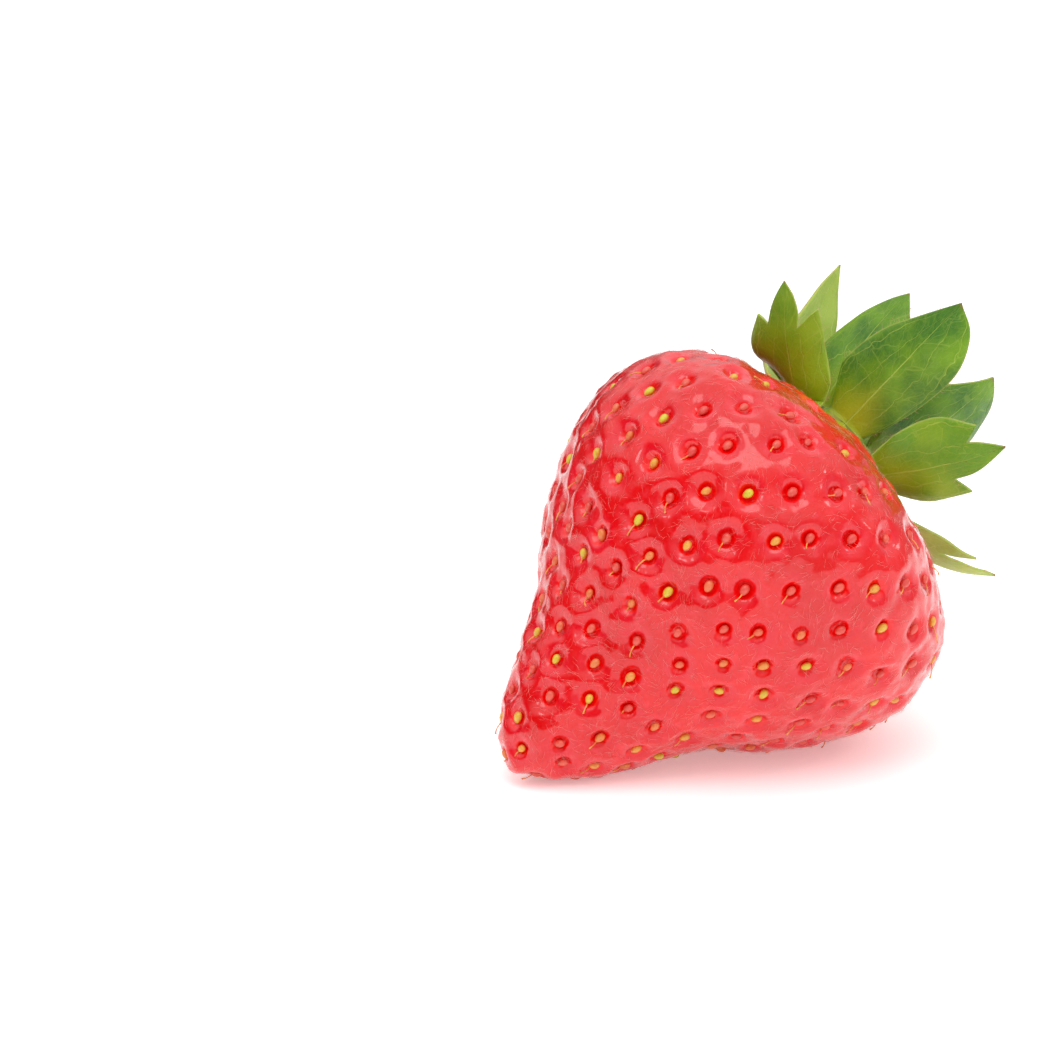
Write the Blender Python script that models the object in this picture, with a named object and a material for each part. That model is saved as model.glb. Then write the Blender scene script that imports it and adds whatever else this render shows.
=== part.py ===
"""A picked strawberry lying on its side on a small flat spot. Metres, +Z up.

The fruit is modelled upright in its own frame: its tip at the origin, its axis along +Z, the side
that ends on top towards +X and its near side towards +Y. The empty "fruit_axis" then leans it over,
its crown towards +X and its near side towards -Y, until the tip and the shoulder both touch the
ground, and sets the middle of its footprint over the origin.
Angles around the axis are counted from the top side towards the near side.
"""

import math
import random
from collections import namedtuple

import bmesh
import bpy
from mathutils import Vector
from mathutils.bvhtree import BVHTree

MM = 0.001

# Fruit body.
FRUIT_LENGTH = 46.4 * MM
SHOULDER_RADIUS_UP = 22.2 * MM  # towards the top side
SHOULDER_RADIUS_SIDE = 21.3 * MM  # level, across the fruit
FLAT_SPOT_DEPTH = 0.35 * MM  # how far the ground has flattened the skin
SKIN_RINGS, SKIN_SIDES = 180, 120
TIP_END, SHOULDER_START = 0.25, 0.35  # shares of the length, for finding what touches the ground
MIDDLE = 0.6  # share of the length: the middle that all of the skin can be seen from

# Outline from tip to crown: share of the length, share of the shoulder radius.
BODY_OUTLINE = (
    (0.0, 0.0),
    (0.021, 0.105),
    (0.085, 0.24),
    (0.19, 0.375),
    (0.32, 0.53),
    (0.447, 0.755),
    (0.575, 0.915),
    (0.703, 1.0),
    (0.82, 0.965),
    (0.912, 0.8),
    (0.962, 0.56),
    (0.985, 0.37),
    (1.0, 0.0),
)
# How far the axis is bent towards the top side: share of the length, millimetres.
AXIS_BEND = ((0.0, 0.9), (0.3, -0.4), (0.55, -1.3), (0.75, -1.5), (0.88, -1.1), (1.0, -0.3))

# Achenes, the dry seeds on the skin, each in a pit of its own.
ACHENE_COUNT = 295
ACHENE_LENGTH = 1.3 * MM
ACHENE_WIDTH = 0.95 * MM
ACHENE_SUNK = 0.12 * MM  # its crest lies this far under the skin
PIT_MARGIN = 0.42 * MM  # skin mouth of the pit, outside the achene
PIT_DEPTH = 0.65 * MM
TIP_CROWDING = 0.75  # over 0 packs the achenes closer towards the tip
ACHENE_WANDER = 0.55 * MM  # how far each may lie from its place on the spiral, in x, y and z
ACHENE_SEED = 7
GOLDEN_ANGLE = math.pi * (3 - math.sqrt(5))
PIT_FLOOR_CORNERS, PIT_MOUTH_CORNERS = 6, 8
SKIN_POINTS = 1000  # spread over the fruit, and kept only between the pits
SKIN_POINT_CLEAR = 1.35 * MM  # from the middle of a pit
BARE_CROWN = 2.2 * MM  # skin with no pits round the calyx's disc

# Calyx: a disc on the crown, a whorl of bracts round its rim, two of sepals on it, and the cut stalk.
CALYX_SHIFT = 0.9 * MM  # from the axis towards the top side
DISC_RADIUS = 6.2 * MM
DISC_THICKNESS = 0.8 * MM
DISC_THINNING = 0.45  # share of the thickness that the rim lacks
DISC_STEPS, DISC_SIDES = 5, 30
GAP = 0.3 * MM  # between pieces that touch
LEAF_THICKNESS = 0.45 * MM
LEAF_ROWS, LEAF_COLUMNS = 14, 3
ROOT_ROWS = 2  # of them, between a corner of the root and the foot of the midrib
ROW_SLOPE = 0.45  # how far a row climbs on its way out, in the shares that the outlines use
MARGIN_STEPS = 24
MIDRIB_STEPS = 12
OUTER_SEPAL_RING, INNER_SEPAL_RING = 0.92, 0.7  # shares of the disc's radius
ROLL_RAMP = 0.4  # share of a leaf's length over which its roll sets in
STALK_RADIUS = 1.15 * MM
STALK_LENGTH = 7.0 * MM
STALK_BEND = 1.1 * MM
STALK_FLARE = 1.5  # widening at the disc
STALK_STEPS, STALK_SIDES = 6, 16

# Half outlines of the leaves: runs of smooth curve that meet in corners, each point the share of the
# half width and the share of the length.
OVATE = (((0.42, 0.0), (0.74, 0.15), (1.0, 0.42), (0.78, 0.7), (0.34, 0.89), (0.0, 1.0)),)
STRAIGHT_TIP = (((0.5, 0.0), (0.86, 0.1), (1.0, 0.3), (0.85, 0.55), (0.45, 0.78), (0.0, 1.0)),)
SLENDER = (((0.42, 0.0), (0.8, 0.12), (0.92, 0.34), (0.66, 0.6), (0.32, 0.81), (0.0, 1.0)),)
BROAD_TIP = (((0.5, 0.0), (0.72, 0.16), (0.94, 0.42), (1.0, 0.66), (0.66, 0.88), (0.0, 1.0)),)
TOOTHED = (
    ((0.42, 0.0), (0.76, 0.17), (1.0, 0.45), (0.84, 0.68), (0.58, 0.82)),
    ((0.58, 0.82), (0.44, 0.82), (0.2, 0.92), (0.0, 1.0)),
)
BROAD_LOBES = (
    ((0.6, 0.0), (0.96, 0.2), (1.0, 0.42), (0.76, 0.69)),
    ((0.76, 0.69), (0.62, 0.67), (0.46, 0.63)),
    ((0.46, 0.63), (0.36, 0.76), (0.18, 0.89), (0.0, 1.0)),
)
LONG_LOBE = (
    ((0.6, 0.0), (0.94, 0.2), (1.0, 0.5), (0.66, 0.84)),
    ((0.66, 0.84), (0.5, 0.77), (0.36, 0.7)),
    ((0.36, 0.7), (0.3, 0.8), (0.16, 0.9), (0.0, 1.0)),
)
DEEP_LOBES = (
    ((0.8, 0.0), (1.0, 0.13), (0.86, 0.45), (0.78, 0.78)),
    ((0.78, 0.78), (0.5, 0.7), (0.27, 0.61)),
    ((0.27, 0.61), (0.3, 0.74), (0.2, 0.88), (0.0, 1.0)),
)
LOW_LOBES = (
    ((0.8, 0.0), (0.94, 0.14), (0.96, 0.38), (0.84, 0.66)),
    ((0.84, 0.66), (0.62, 0.61), (0.42, 0.56)),
    ((0.42, 0.56), (0.38, 0.7), (0.2, 0.87), (0.0, 1.0)),
)
FORKED = (
    ((0.45, 0.0), (0.66, 0.2), (0.84, 0.45), (0.98, 0.74)),
    ((0.98, 0.74), (0.6, 0.65), (0.32, 0.55)),
    ((0.32, 0.55), (0.36, 0.7), (0.24, 0.88), (0.0, 1.0)),
)

# ring: 0 the bracts, outside the disc's rim, 1 the outer sepals and 2 the inner ones, on the disc.
# around: place round the axis, in degrees. length and width: in radii of the disc. rise: slope at the
# root, and curl: how far the slope has turned at the tip, both in degrees from straight outwards
# towards the stalk. cup: degrees that each half turns up across its width. roll: turn about its
# midrib, to face the next leaf round. Left and right are as seen from outside with the stalk up.
Leaf = namedtuple("Leaf", "name ring around length width left right rise curl cup roll")
LEAVES = (
    Leaf("bract_left", 0, 6, 2.02, 1.38, BROAD_LOBES, DEEP_LOBES, 16, 20, 14, 30),
    Leaf("bract_right", 0, 115, 2.08, 1.58, LONG_LOBE, LOW_LOBES, 40, 18, 11, -25),
    Leaf("bract_low", 0, 173, 3.03, 1.13, FORKED, LOW_LOBES, -8, 48, 7, -20),
    Leaf("bract_rear", 0, 238, 2.02, 1.29, LOW_LOBES, FORKED, 18, 16, 14, 0),
    Leaf("bract_top", 0, 293, 1.98, 1.29, BROAD_LOBES, DEEP_LOBES, 24, 20, 11, 0),
    Leaf("sepal_front", 1, 57, 2.7, 1.48, STRAIGHT_TIP, BROAD_TIP, 48, 24, 12, 0),
    Leaf("sepal_low", 1, 191, 2.2, 1.12, SLENDER, OVATE, 55, 16, 12, 0),
    Leaf("sepal_top", 1, 303, 2.77, 1.15, STRAIGHT_TIP, SLENDER, 56, 16, 12, -35),
    Leaf("sepal_left", 2, 18, 2.35, 1.9, STRAIGHT_TIP, TOOTHED, 64, 30, 21, 0),
    Leaf("sepal_right", 2, 126, 2.45, 1.95, SLENDER, BROAD_TIP, 63, 28, 15, -22),
    Leaf("sepal_rear", 2, 234, 2.42, 1.55, OVATE, OVATE, 66, 24, 15, 0),
)


def smooth_curve(points, steps):
    """Points of a centripetal Catmull-Rom curve through the given 2D points, ends included."""
    knots = [Vector(p) for p in points]
    knots.insert(0, knots[0] * 2 - knots[1])
    knots.append(knots[-1] * 2 - knots[-2])
    times = [0.0]
    for a, b in zip(knots, knots[1:]):
        times.append(times[-1] + math.sqrt((b - a).length))
    made = []
    for step in range(steps + 1):
        t = times[1] + (times[-2] - times[1]) * step / steps
        i = next(k for k in range(1, len(knots) - 2) if t <= times[k + 1] or k == len(knots) - 3)
        made.append(catmull_rom(knots[i - 1 : i + 3], times[i - 1 : i + 3], t))
    return made


def catmull_rom(p, k, t):
    """The point at time t of the piece of curve between the middle two of four knots p at times k."""
    a = [p[j].lerp(p[j + 1], (t - k[j]) / (k[j + 1] - k[j])) for j in range(3)]
    b = [a[j].lerp(a[j + 1], (t - k[j]) / (k[j + 2] - k[j])) for j in range(2)]
    return b[0].lerp(b[1], (t - k[1]) / (k[2] - k[1]))


def interpolate(curve, x):
    """The y of a curve of 2D points at this x, which runs upwards along it."""
    for a, b in zip(curve, curve[1:]):
        if x <= b[0]:
            return a[1] + (b[1] - a[1]) * (x - a[0]) / (b[0] - a[0])
    return curve[-1][1]


BENT_AXIS = smooth_curve(AXIS_BEND, 40)


def axis_offset(height):
    """How far the axis has bent towards the top side at this height."""
    return interpolate(BENT_AXIS, height / FRUIT_LENGTH) * MM


def around_axis(angle, radius, height):
    """The skin's point at this angle and height, its radius a share of the shoulder's."""
    x = radius * math.cos(angle) * SHOULDER_RADIUS_UP
    y = radius * math.sin(angle) * SHOULDER_RADIUS_SIDE
    return Vector((x + axis_offset(height), y, height))


def body_profile():
    """(height, share of the shoulder radius) from tip to crown.

    A mirrored point beyond each end makes the curve cross the axis squarely.
    """
    (below, first), (above, last) = BODY_OUTLINE[1], BODY_OUTLINE[-2]
    outline = [(below, -first), *BODY_OUTLINE, (above, -last)]
    scaled = [(share * FRUIT_LENGTH, radius * SHOULDER_RADIUS_UP) for share, radius in outline]
    outside = [p for p in smooth_curve(scaled, SKIN_RINGS) if p.y > 0]
    ends = Vector((0.0, 0.0)), Vector((FRUIT_LENGTH, 0.0))
    return [(p.x, p.y / SHOULDER_RADIUS_UP) for p in (ends[0], *outside, ends[1])]


class Skin:
    """The smooth surface of the fruit, without its pits, to place things on."""

    def __init__(self):
        self.profile = body_profile()
        points = []
        for height, radius in self.profile:
            for side in range(SKIN_SIDES):
                points.append(around_axis(2 * math.pi * side / SKIN_SIDES, radius, height))
        faces = []
        for ring in range(len(self.profile) - 1):
            for side in range(SKIN_SIDES):
                beside = (side + 1) % SKIN_SIDES
                low, high = ring * SKIN_SIDES, (ring + 1) * SKIN_SIDES
                faces.append((low + side, high + side, high + beside, low + beside))
        self.points = points
        self.tree = BVHTree.FromPolygons(points, faces)
        self.centre = Vector((0.0, 0.0, MIDDLE * FRUIT_LENGTH))

    def nearest(self, point):
        """The point of the skin nearest to this one, and the way out there."""
        place, normal, _, _ = self.tree.find_nearest(point)
        return place, normal if normal.dot(place - self.centre) > 0 else -normal

    def below(self, point):
        """The point of the crown straight below this one, and the way out there."""
        start = Vector((point.x, point.y, 2 * FRUIT_LENGTH))
        place, normal, _, _ = self.tree.ray_cast(start, Vector((0.0, 0.0, -1.0)))
        return place, normal if normal.z > 0 else -normal

    def height_at_radius(self, radius):
        """Height of the crown where its share of the shoulder radius has come down to this one."""
        widest = max(range(len(self.profile)), key=lambda k: self.profile[k][1])
        return next(h for h, r in self.profile[widest:] if r <= radius)

    def lean(self):
        """Angle of the axis above the ground with the tip and the shoulder both touching it."""
        lower_side = [around_axis(math.pi, r, h) for h, r in self.profile]
        tip = [p for p in lower_side if p.z < TIP_END * FRUIT_LENGTH]
        shoulder = [p for p in lower_side if p.z > SHOULDER_START * FRUIT_LENGTH]
        low, high = 0.0, math.pi / 2
        while high - low > 1e-9:
            lean = (low + high) / 2
            up = upwards(lean)
            if min(p.dot(up) for p in tip) < min(p.dot(up) for p in shoulder):
                high = lean
            else:
                low = lean
        return lean

    def ground(self, lean):
        """How far the ground lies along the upwards direction, in the fruit's frame."""
        up = upwards(lean)
        return min(p.dot(up) for p in self.points) + FLAT_SPOT_DEPTH


def upwards(lean):
    """The ground's normal in the frame of a fruit whose axis is this far above the ground."""
    return Vector((math.cos(lean), 0.0, math.sin(lean)))


def spread_on_skin(skin, count, low, high, wander):
    """(place, way out) of points on a golden-angle spiral that climbs from height low to height high.

    They are spread evenly by area, but for the crowding at the tip and for how far they may wander.
    """
    chance = random.Random(ACHENE_SEED)
    bands = []
    for (h0, r0), (h1, r1) in zip(skin.profile, skin.profile[1:]):
        if low <= h0 and h1 <= high:
            slant = math.hypot(h1 - h0, (r1 - r0) * SHOULDER_RADIUS_UP)
            crowd = 1 + TIP_CROWDING * (1 - h0 / FRUIT_LENGTH)
            bands.append((h0, h1, r0, r1, slant * (r0 + r1) * crowd))
    total = sum(band[-1] for band in bands)
    sites, band, passed = [], 0, 0.0
    for i in range(count):
        wanted = total * (i + 0.5) / count
        while band < len(bands) - 1 and passed + bands[band][-1] < wanted:
            passed += bands[band][-1]
            band += 1
        h0, h1, r0, r1, area = bands[band]
        share = (wanted - passed) / area
        point = around_axis(i * GOLDEN_ANGLE, r0 + (r1 - r0) * share, h0 + (h1 - h0) * share)
        off = Vector([chance.uniform(-wander, wander) for _ in range(3)])
        sites.append(skin.nearest(point + off))
    return sites


def ring_on_skin(skin, place, normal, along, across, corners, sink):
    """(skin point, sunk point) round a site, on an ellipse whose long half points to the tip."""
    to_tip = Vector((0.0, 0.0, -1.0))
    to_tip = (to_tip - normal * to_tip.dot(normal)).normalized()
    side = normal.cross(to_tip)
    ring = []
    for k in range(corners):
        turn = 2 * math.pi * k / corners
        at, out = skin.nearest(place + to_tip * (along * math.cos(turn)) + side * (across * math.sin(turn)))
        ring.append((at, at - out * sink))
    return ring


def fruit_points(skin):
    """(skin point, final point) of every vertex: pits with their achenes, and the skin between."""
    crown = skin.height_at_radius((DISC_RADIUS + BARE_CROWN) / SHOULDER_RADIUS_UP)
    floor = (ACHENE_LENGTH / 2, ACHENE_WIDTH / 2)
    mouth = (floor[0] + PIT_MARGIN, floor[1] + PIT_MARGIN)
    points = []
    sites = spread_on_skin(skin, ACHENE_COUNT, 0.0, crown, ACHENE_WANDER)
    for place, normal in sites:
        points.append((place, place - normal * ACHENE_SUNK))
        points += ring_on_skin(skin, place, normal, *floor, PIT_FLOOR_CORNERS, PIT_DEPTH)
        points += ring_on_skin(skin, place, normal, *mouth, PIT_MOUTH_CORNERS, 0.0)
    points += [(place, place) for place in bare_skin_points(skin, [p for p, _ in sites])]
    return points


def bare_skin_points(skin, pits):
    """Evenly spread points that stay clear of every pit, with the tip and the middle of the crown."""
    spread = spread_on_skin(skin, SKIN_POINTS, 0.0, FRUIT_LENGTH, 0.0)
    places = [skin.points[0], skin.points[-1]] + [place for place, _ in spread]
    return [p for p in places if all((p - pit).length > SKIN_POINT_CLEAR for pit in pits)]


def new_object(name, mesh, colour, roughness, parent):
    """An object with its own plain material, under the parent."""
    obj = bpy.data.objects.new(name, mesh)
    bpy.context.scene.collection.objects.link(obj)
    obj.parent = parent
    material = bpy.data.materials.new(name)
    material.use_nodes = True
    shader = material.node_tree.nodes["Principled BSDF"]
    shader.inputs["Base Color"].default_value = (*colour, 1.0)
    shader.inputs["Roughness"].default_value = roughness
    shader.inputs["Metallic"].default_value = 0.0
    mesh.materials.append(material)
    return obj


def finish_mesh(bm, name):
    """A mesh from a bmesh, shaded smooth but for its sharp edges."""
    bmesh.ops.recalc_face_normals(bm, faces=bm.faces)
    mesh = bpy.data.meshes.new(name)
    bm.to_mesh(mesh)
    bm.free()
    mesh.shade_smooth()
    mesh.set_sharp_from_angle(angle=math.radians(40))
    return mesh


def flesh(skin, lean, parent):
    """The red flesh with its pits and achenes in one skin, flattened where it lies on the ground.

    The convex hull of the vertices' directions gives the faces, and each vertex then goes to its place.
    """
    up, level = upwards(lean), skin.ground(lean)
    bm = bmesh.new()
    final = {}
    for on_skin, place in fruit_points(skin):
        vertex = bm.verts.new((on_skin - skin.centre).normalized())
        final[vertex] = place
    bmesh.ops.convex_hull(bm, input=bm.verts)
    for vertex in bm.verts:
        under = level - final[vertex].dot(up)
        vertex.co = final[vertex] + up * max(0.0, under)
    return new_object("flesh", finish_mesh(bm, "flesh"), (0.72, 0.03, 0.03), 0.35, parent)


def calyx_disc(skin, parent):
    """The green disc that the leaves grow from: it follows the crown, a gap above it."""
    bm = bmesh.new()
    rings = []
    top_first = [(step, True) for step in range(DISC_STEPS + 1)]
    for step, is_top in top_first + [(step, False) for step in range(DISC_STEPS, -1, -1)]:
        share = step / DISC_STEPS
        ring = []
        for side in range(DISC_SIDES if step else 1):
            angle = 2 * math.pi * side / DISC_SIDES
            ring.append(bm.verts.new(disc_point(skin, angle, share, is_top)))
        rings.append(ring)
    for inner, outer in zip(rings, rings[1:]):
        join_rings(bm, inner, outer)
    return new_object("calyx_disc", finish_mesh(bm, "calyx_disc"), (0.32, 0.42, 0.08), 0.55, parent)


def disc_point(skin, angle, share, is_top):
    """A point of the disc, from its middle (share 0) to its rim (share 1)."""
    radius = share * DISC_RADIUS
    over = Vector((CALYX_SHIFT + axis_offset(FRUIT_LENGTH), 0.0, FRUIT_LENGTH))
    over += Vector((math.cos(angle), math.sin(angle), 0.0)) * radius
    place, normal = skin.below(over)
    thickness = DISC_THICKNESS * (1 - DISC_THINNING * share**4)
    return place + normal * (GAP + thickness if is_top else GAP)


def join_rings(bm, inner, outer):
    """Faces between two rings of vertices; a ring of one vertex is a pole."""
    count = max(len(inner), len(outer))
    for k in range(count):
        corners = [inner[k % len(inner)], inner[(k + 1) % len(inner)]]
        corners += [outer[(k + 1) % len(outer)], outer[k % len(outer)]]
        face = list(dict.fromkeys(corners))
        if len(face) > 2:
            bm.faces.new(face)


def stalk(skin, parent):
    """The cut stub of the fruit stalk, flared at the disc and a little bent."""
    bm = bmesh.new()
    foot = disc_point(skin, 0.0, 0.0, True) + Vector((0.0, 0.0, GAP))
    rings = []
    for step in range(STALK_STEPS + 1):
        share = step / STALK_STEPS
        radius = STALK_RADIUS * (1 + (STALK_FLARE - 1) * (1 - share) ** 3)
        middle = foot + Vector((STALK_BEND * share * share, 0.0, STALK_LENGTH * share))
        ring = []
        for side in range(STALK_SIDES):
            angle = 2 * math.pi * side / STALK_SIDES
            ring.append(bm.verts.new(middle + Vector((math.cos(angle), math.sin(angle), 0.0)) * radius))
        rings.append(ring)
    for lower, upper in zip(rings, rings[1:]):
        join_rings(bm, lower, upper)
    bm.faces.new(rings[0])
    bm.faces.new(rings[-1])
    return new_object("stalk", finish_mesh(bm, "stalk"), (0.35, 0.45, 0.12), 0.6, parent)


def half_outline(runs):
    """A leaf's margin on one side: the level of each of its points, the points, and its corners' levels.

    A row of points climbs from the midrib to the margin, and its level is the share of the length
    where it leaves the midrib. Rows with a level under 0 leave the edge of the root instead.
    """
    points, levels = [], []
    for run in runs:
        points += smooth_curve(run, MARGIN_STEPS)[1 if points else 0 :]
    for point in points:
        level = point.y - ROW_SLOPE * point.x
        levels.append(max([level] + levels[-1:]))
    corners = [levels[(k + 1) * MARGIN_STEPS] for k in range(len(runs) - 1)]
    return levels, points, corners


def leaf_row(half, level):
    """A row's points from the midrib, or from the root's edge, out to the margin."""
    levels, points, _ = half
    start = Vector((0.0, level)) if level >= 0 else Vector((-level / ROW_SLOPE, 0.0))
    k = next(k for k in range(1, len(levels)) if level <= levels[k] or k == len(levels) - 1)
    part = (level - levels[k - 1]) / max(levels[k] - levels[k - 1], 1e-9)
    end = points[k - 1].lerp(points[k], min(1.0, part))
    return [start.lerp(end, step / LEAF_COLUMNS) for step in range(LEAF_COLUMNS + 1)]


def full_rows(left, right):
    """Levels of the rows across the whole leaf: even ones, and one at every corner of the margin."""
    least = 0.5 / LEAF_ROWS
    corners = []
    for corner in sorted(left[2] + right[2]):
        if not corners or corner - corners[-1] > least / 4:
            corners.append(corner)
    even = [k / LEAF_ROWS for k in range(LEAF_ROWS)]
    return sorted(corners + [s for s in even if s == 0 or all(abs(s - c) > least for c in corners)])


def bent(leaf, across, along):
    """Where a point of the flat leaf goes: x to the left, y outwards from the root, z towards the stalk."""
    length, half_width = leaf.length * DISC_RADIUS, leaf.width * DISC_RADIUS / 2
    share = along / length
    rise, curl = math.radians(leaf.rise), math.radians(leaf.curl)
    y = z = 0.0
    for k in range(MIDRIB_STEPS):
        slope = rise + curl * share * (k + 0.5) / MIDRIB_STEPS
        y += math.cos(slope) * along / MIDRIB_STEPS
        z += math.sin(slope) * along / MIDRIB_STEPS
    ramp = min(1.0, share / ROLL_RAMP)
    turn = math.radians(leaf.roll) * ramp * ramp * (3 - 2 * ramp)
    turn += math.radians(leaf.cup) * across / half_width
    slope = rise + curl * share
    normal = Vector((0.0, -math.sin(slope), math.cos(slope)))
    return Vector((-across * math.cos(turn), y, z)) + normal * across * math.sin(turn)


def join_rows(bm, a, b):
    """Faces between two rows of vertices; a row of one vertex is a corner of the leaf."""
    for k in range(max(len(a), len(b)) - 1):
        corners = [a[min(k, len(a) - 1)], a[min(k + 1, len(a) - 1)]]
        corners += [b[min(k + 1, len(b) - 1)], b[min(k, len(b) - 1)]]
        bm.faces.new(list(dict.fromkeys(corners)))


def leaf_sheet(leaf):
    """The bent sheet of a leaf, with no thickness yet."""
    bm = bmesh.new()
    size = Vector((leaf.width * DISC_RADIUS / 2, leaf.length * DISC_RADIUS))

    def vertices(side, row):
        return [bm.verts.new(bent(leaf, side * p.x * size.x, p.y * size.y)) for p in row]

    left, right = half_outline(leaf.left), half_outline(leaf.right)
    rows = []
    for level in full_rows(left, right):
        row = vertices(-1, leaf_row(left, level)[:0:-1])
        rows.append(row + vertices(1, leaf_row(right, level)))
    rows.append(vertices(1, [Vector((0.0, 1.0))]))
    for a, b in zip(rows, rows[1:]):
        join_rows(bm, a, b)
    for side, half, above in ((-1, left, rows[0][LEAF_COLUMNS::-1]), (1, right, rows[0][LEAF_COLUMNS:])):
        for step in range(1, ROOT_ROWS + 1):
            row = leaf_row(half, half[0][0] * step / ROOT_ROWS)
            row = vertices(side, row if step < ROOT_ROWS else row[:1])
            join_rows(bm, above, row)
            above = row
    return bm


def leaf_object(skin, leaf, parent):
    """One leaf of the calyx, a bent sheet with its root at its origin."""
    bm = leaf_sheet(leaf)
    obj = new_object(leaf.name, finish_mesh(bm, leaf.name), (0.16, 0.38, 0.05), 0.5, parent)
    sheet = obj.modifiers.new("thickness", "SOLIDIFY")
    sheet.thickness = LEAF_THICKNESS
    sheet.offset = 0.0
    angle = math.radians(leaf.around)
    obj.location = leaf_root(skin, angle, leaf.ring)
    obj.rotation_euler = (0.0, 0.0, angle - math.pi / 2)
    return obj


def leaf_root(skin, angle, ring):
    """Where a leaf starts: a gap outside the disc's rim, or a gap above the disc."""
    clear = GAP + LEAF_THICKNESS / 2
    if ring == 0:
        beside = Vector((math.cos(angle) * clear, math.sin(angle) * clear, LEAF_THICKNESS / 2))
        return disc_point(skin, angle, 1.0, False) + beside
    share = OUTER_SEPAL_RING if ring == 1 else INNER_SEPAL_RING
    return disc_point(skin, angle, share, True) + Vector((0.0, 0.0, clear))


def footprint(objects):
    """The corners of the box round every vertex, in world space."""
    bpy.context.view_layer.update()
    graph = bpy.context.evaluated_depsgraph_get()
    points = []
    for obj in objects:
        evaluated = obj.evaluated_get(graph)
        points += [evaluated.matrix_world @ v.co for v in evaluated.to_mesh().vertices]
        evaluated.to_mesh_clear()
    low = Vector([min(p[k] for p in points) for k in range(3)])
    high = Vector([max(p[k] for p in points) for k in range(3)])
    return low, high


def lay_down(axis, objects, lean):
    """Leans the fruit over and sets the middle of its footprint over the origin, at ground level."""
    axis.rotation_euler = (0.0, lean - math.pi / 2, math.pi)
    low, high = footprint(objects)
    axis.location = -Vector(((low.x + high.x) / 2, (low.y + high.y) / 2, low.z))


def main():
    for obj in list(bpy.data.objects):
        bpy.data.objects.remove(obj)
    axis = bpy.data.objects.new("fruit_axis", None)
    bpy.context.scene.collection.objects.link(axis)
    skin = Skin()
    lean = skin.lean()
    objects = [flesh(skin, lean, axis), calyx_disc(skin, axis), stalk(skin, axis)]
    objects += [leaf_object(skin, leaf, axis) for leaf in LEAVES]
    lay_down(axis, objects, lean)


main()
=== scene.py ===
"""Looks of the strawberry: fine skin, achenes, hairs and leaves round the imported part, with a studio.

Everything is made in the fruit's own frame, as in the CAD source: the tip at the origin, the axis
along +Z, the side that ends on top towards +X and the near side towards +Y. A matrix then leans it
over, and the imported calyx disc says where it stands.
"""

import math
import random
from collections import namedtuple

import bmesh
import bpy
import numpy as np
from mathutils import Euler, Matrix, Vector, noise
from mathutils.bvhtree import BVHTree
from mathutils.kdtree import KDTree

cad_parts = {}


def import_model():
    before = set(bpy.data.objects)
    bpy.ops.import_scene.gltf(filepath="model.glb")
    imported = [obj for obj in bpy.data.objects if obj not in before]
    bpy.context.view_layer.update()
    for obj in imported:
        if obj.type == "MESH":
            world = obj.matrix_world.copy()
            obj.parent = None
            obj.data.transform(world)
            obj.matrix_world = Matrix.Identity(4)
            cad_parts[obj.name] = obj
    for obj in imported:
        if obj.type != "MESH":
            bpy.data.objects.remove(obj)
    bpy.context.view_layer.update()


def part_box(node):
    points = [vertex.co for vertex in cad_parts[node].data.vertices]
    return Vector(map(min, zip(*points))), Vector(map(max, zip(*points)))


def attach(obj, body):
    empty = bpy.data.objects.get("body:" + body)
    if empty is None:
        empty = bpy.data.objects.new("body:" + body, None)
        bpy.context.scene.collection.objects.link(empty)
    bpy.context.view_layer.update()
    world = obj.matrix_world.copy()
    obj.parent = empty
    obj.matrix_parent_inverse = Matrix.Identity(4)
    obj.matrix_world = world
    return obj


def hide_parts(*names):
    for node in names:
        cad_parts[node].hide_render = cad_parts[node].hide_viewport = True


MM = 0.001

# Fruit body.
FRUIT_LENGTH = 46.4 * MM
SHOULDER_RADIUS_UP = 22.2 * MM  # towards the top side
SHOULDER_RADIUS_SIDE = 21.3 * MM  # level, across the fruit
SKIN_RINGS, SKIN_SIDES = 180, 120
TIP_END, SHOULDER_START = 0.25, 0.35  # shares of the length, for finding what touches the ground
MIDDLE = 0.6  # share of the length: the middle that all of the skin can be seen from

# Outline from tip to crown: share of the length, share of the shoulder radius.
BODY_OUTLINE = (
    (0.0, 0.0),
    (0.021, 0.105),
    (0.085, 0.24),
    (0.19, 0.375),
    (0.32, 0.53),
    (0.447, 0.755),
    (0.575, 0.915),
    (0.703, 1.0),
    (0.82, 0.965),
    (0.912, 0.8),
    (0.962, 0.56),
    (0.985, 0.37),
    (1.0, 0.0),
)
# How far the axis is bent towards the top side: share of the length, millimetres.
AXIS_BEND = ((0.0, 0.9), (0.3, -0.4), (0.55, -1.3), (0.75, -1.5), (0.88, -1.1), (1.0, -0.3))

# Achenes, the dry seeds on the skin, each in a pit of its own.
ACHENE_COUNT = 295
TIP_CROWDING = 0.75  # over 0 packs the achenes closer towards the tip
ACHENE_WANDER = 0.55 * MM  # how far each may lie from its place on the spiral, in x, y and z
ACHENE_SEED = 7
GOLDEN_ANGLE = math.pi * (3 - math.sqrt(5))
BARE_CROWN = 2.2 * MM  # skin with no pits round the calyx's disc

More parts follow.
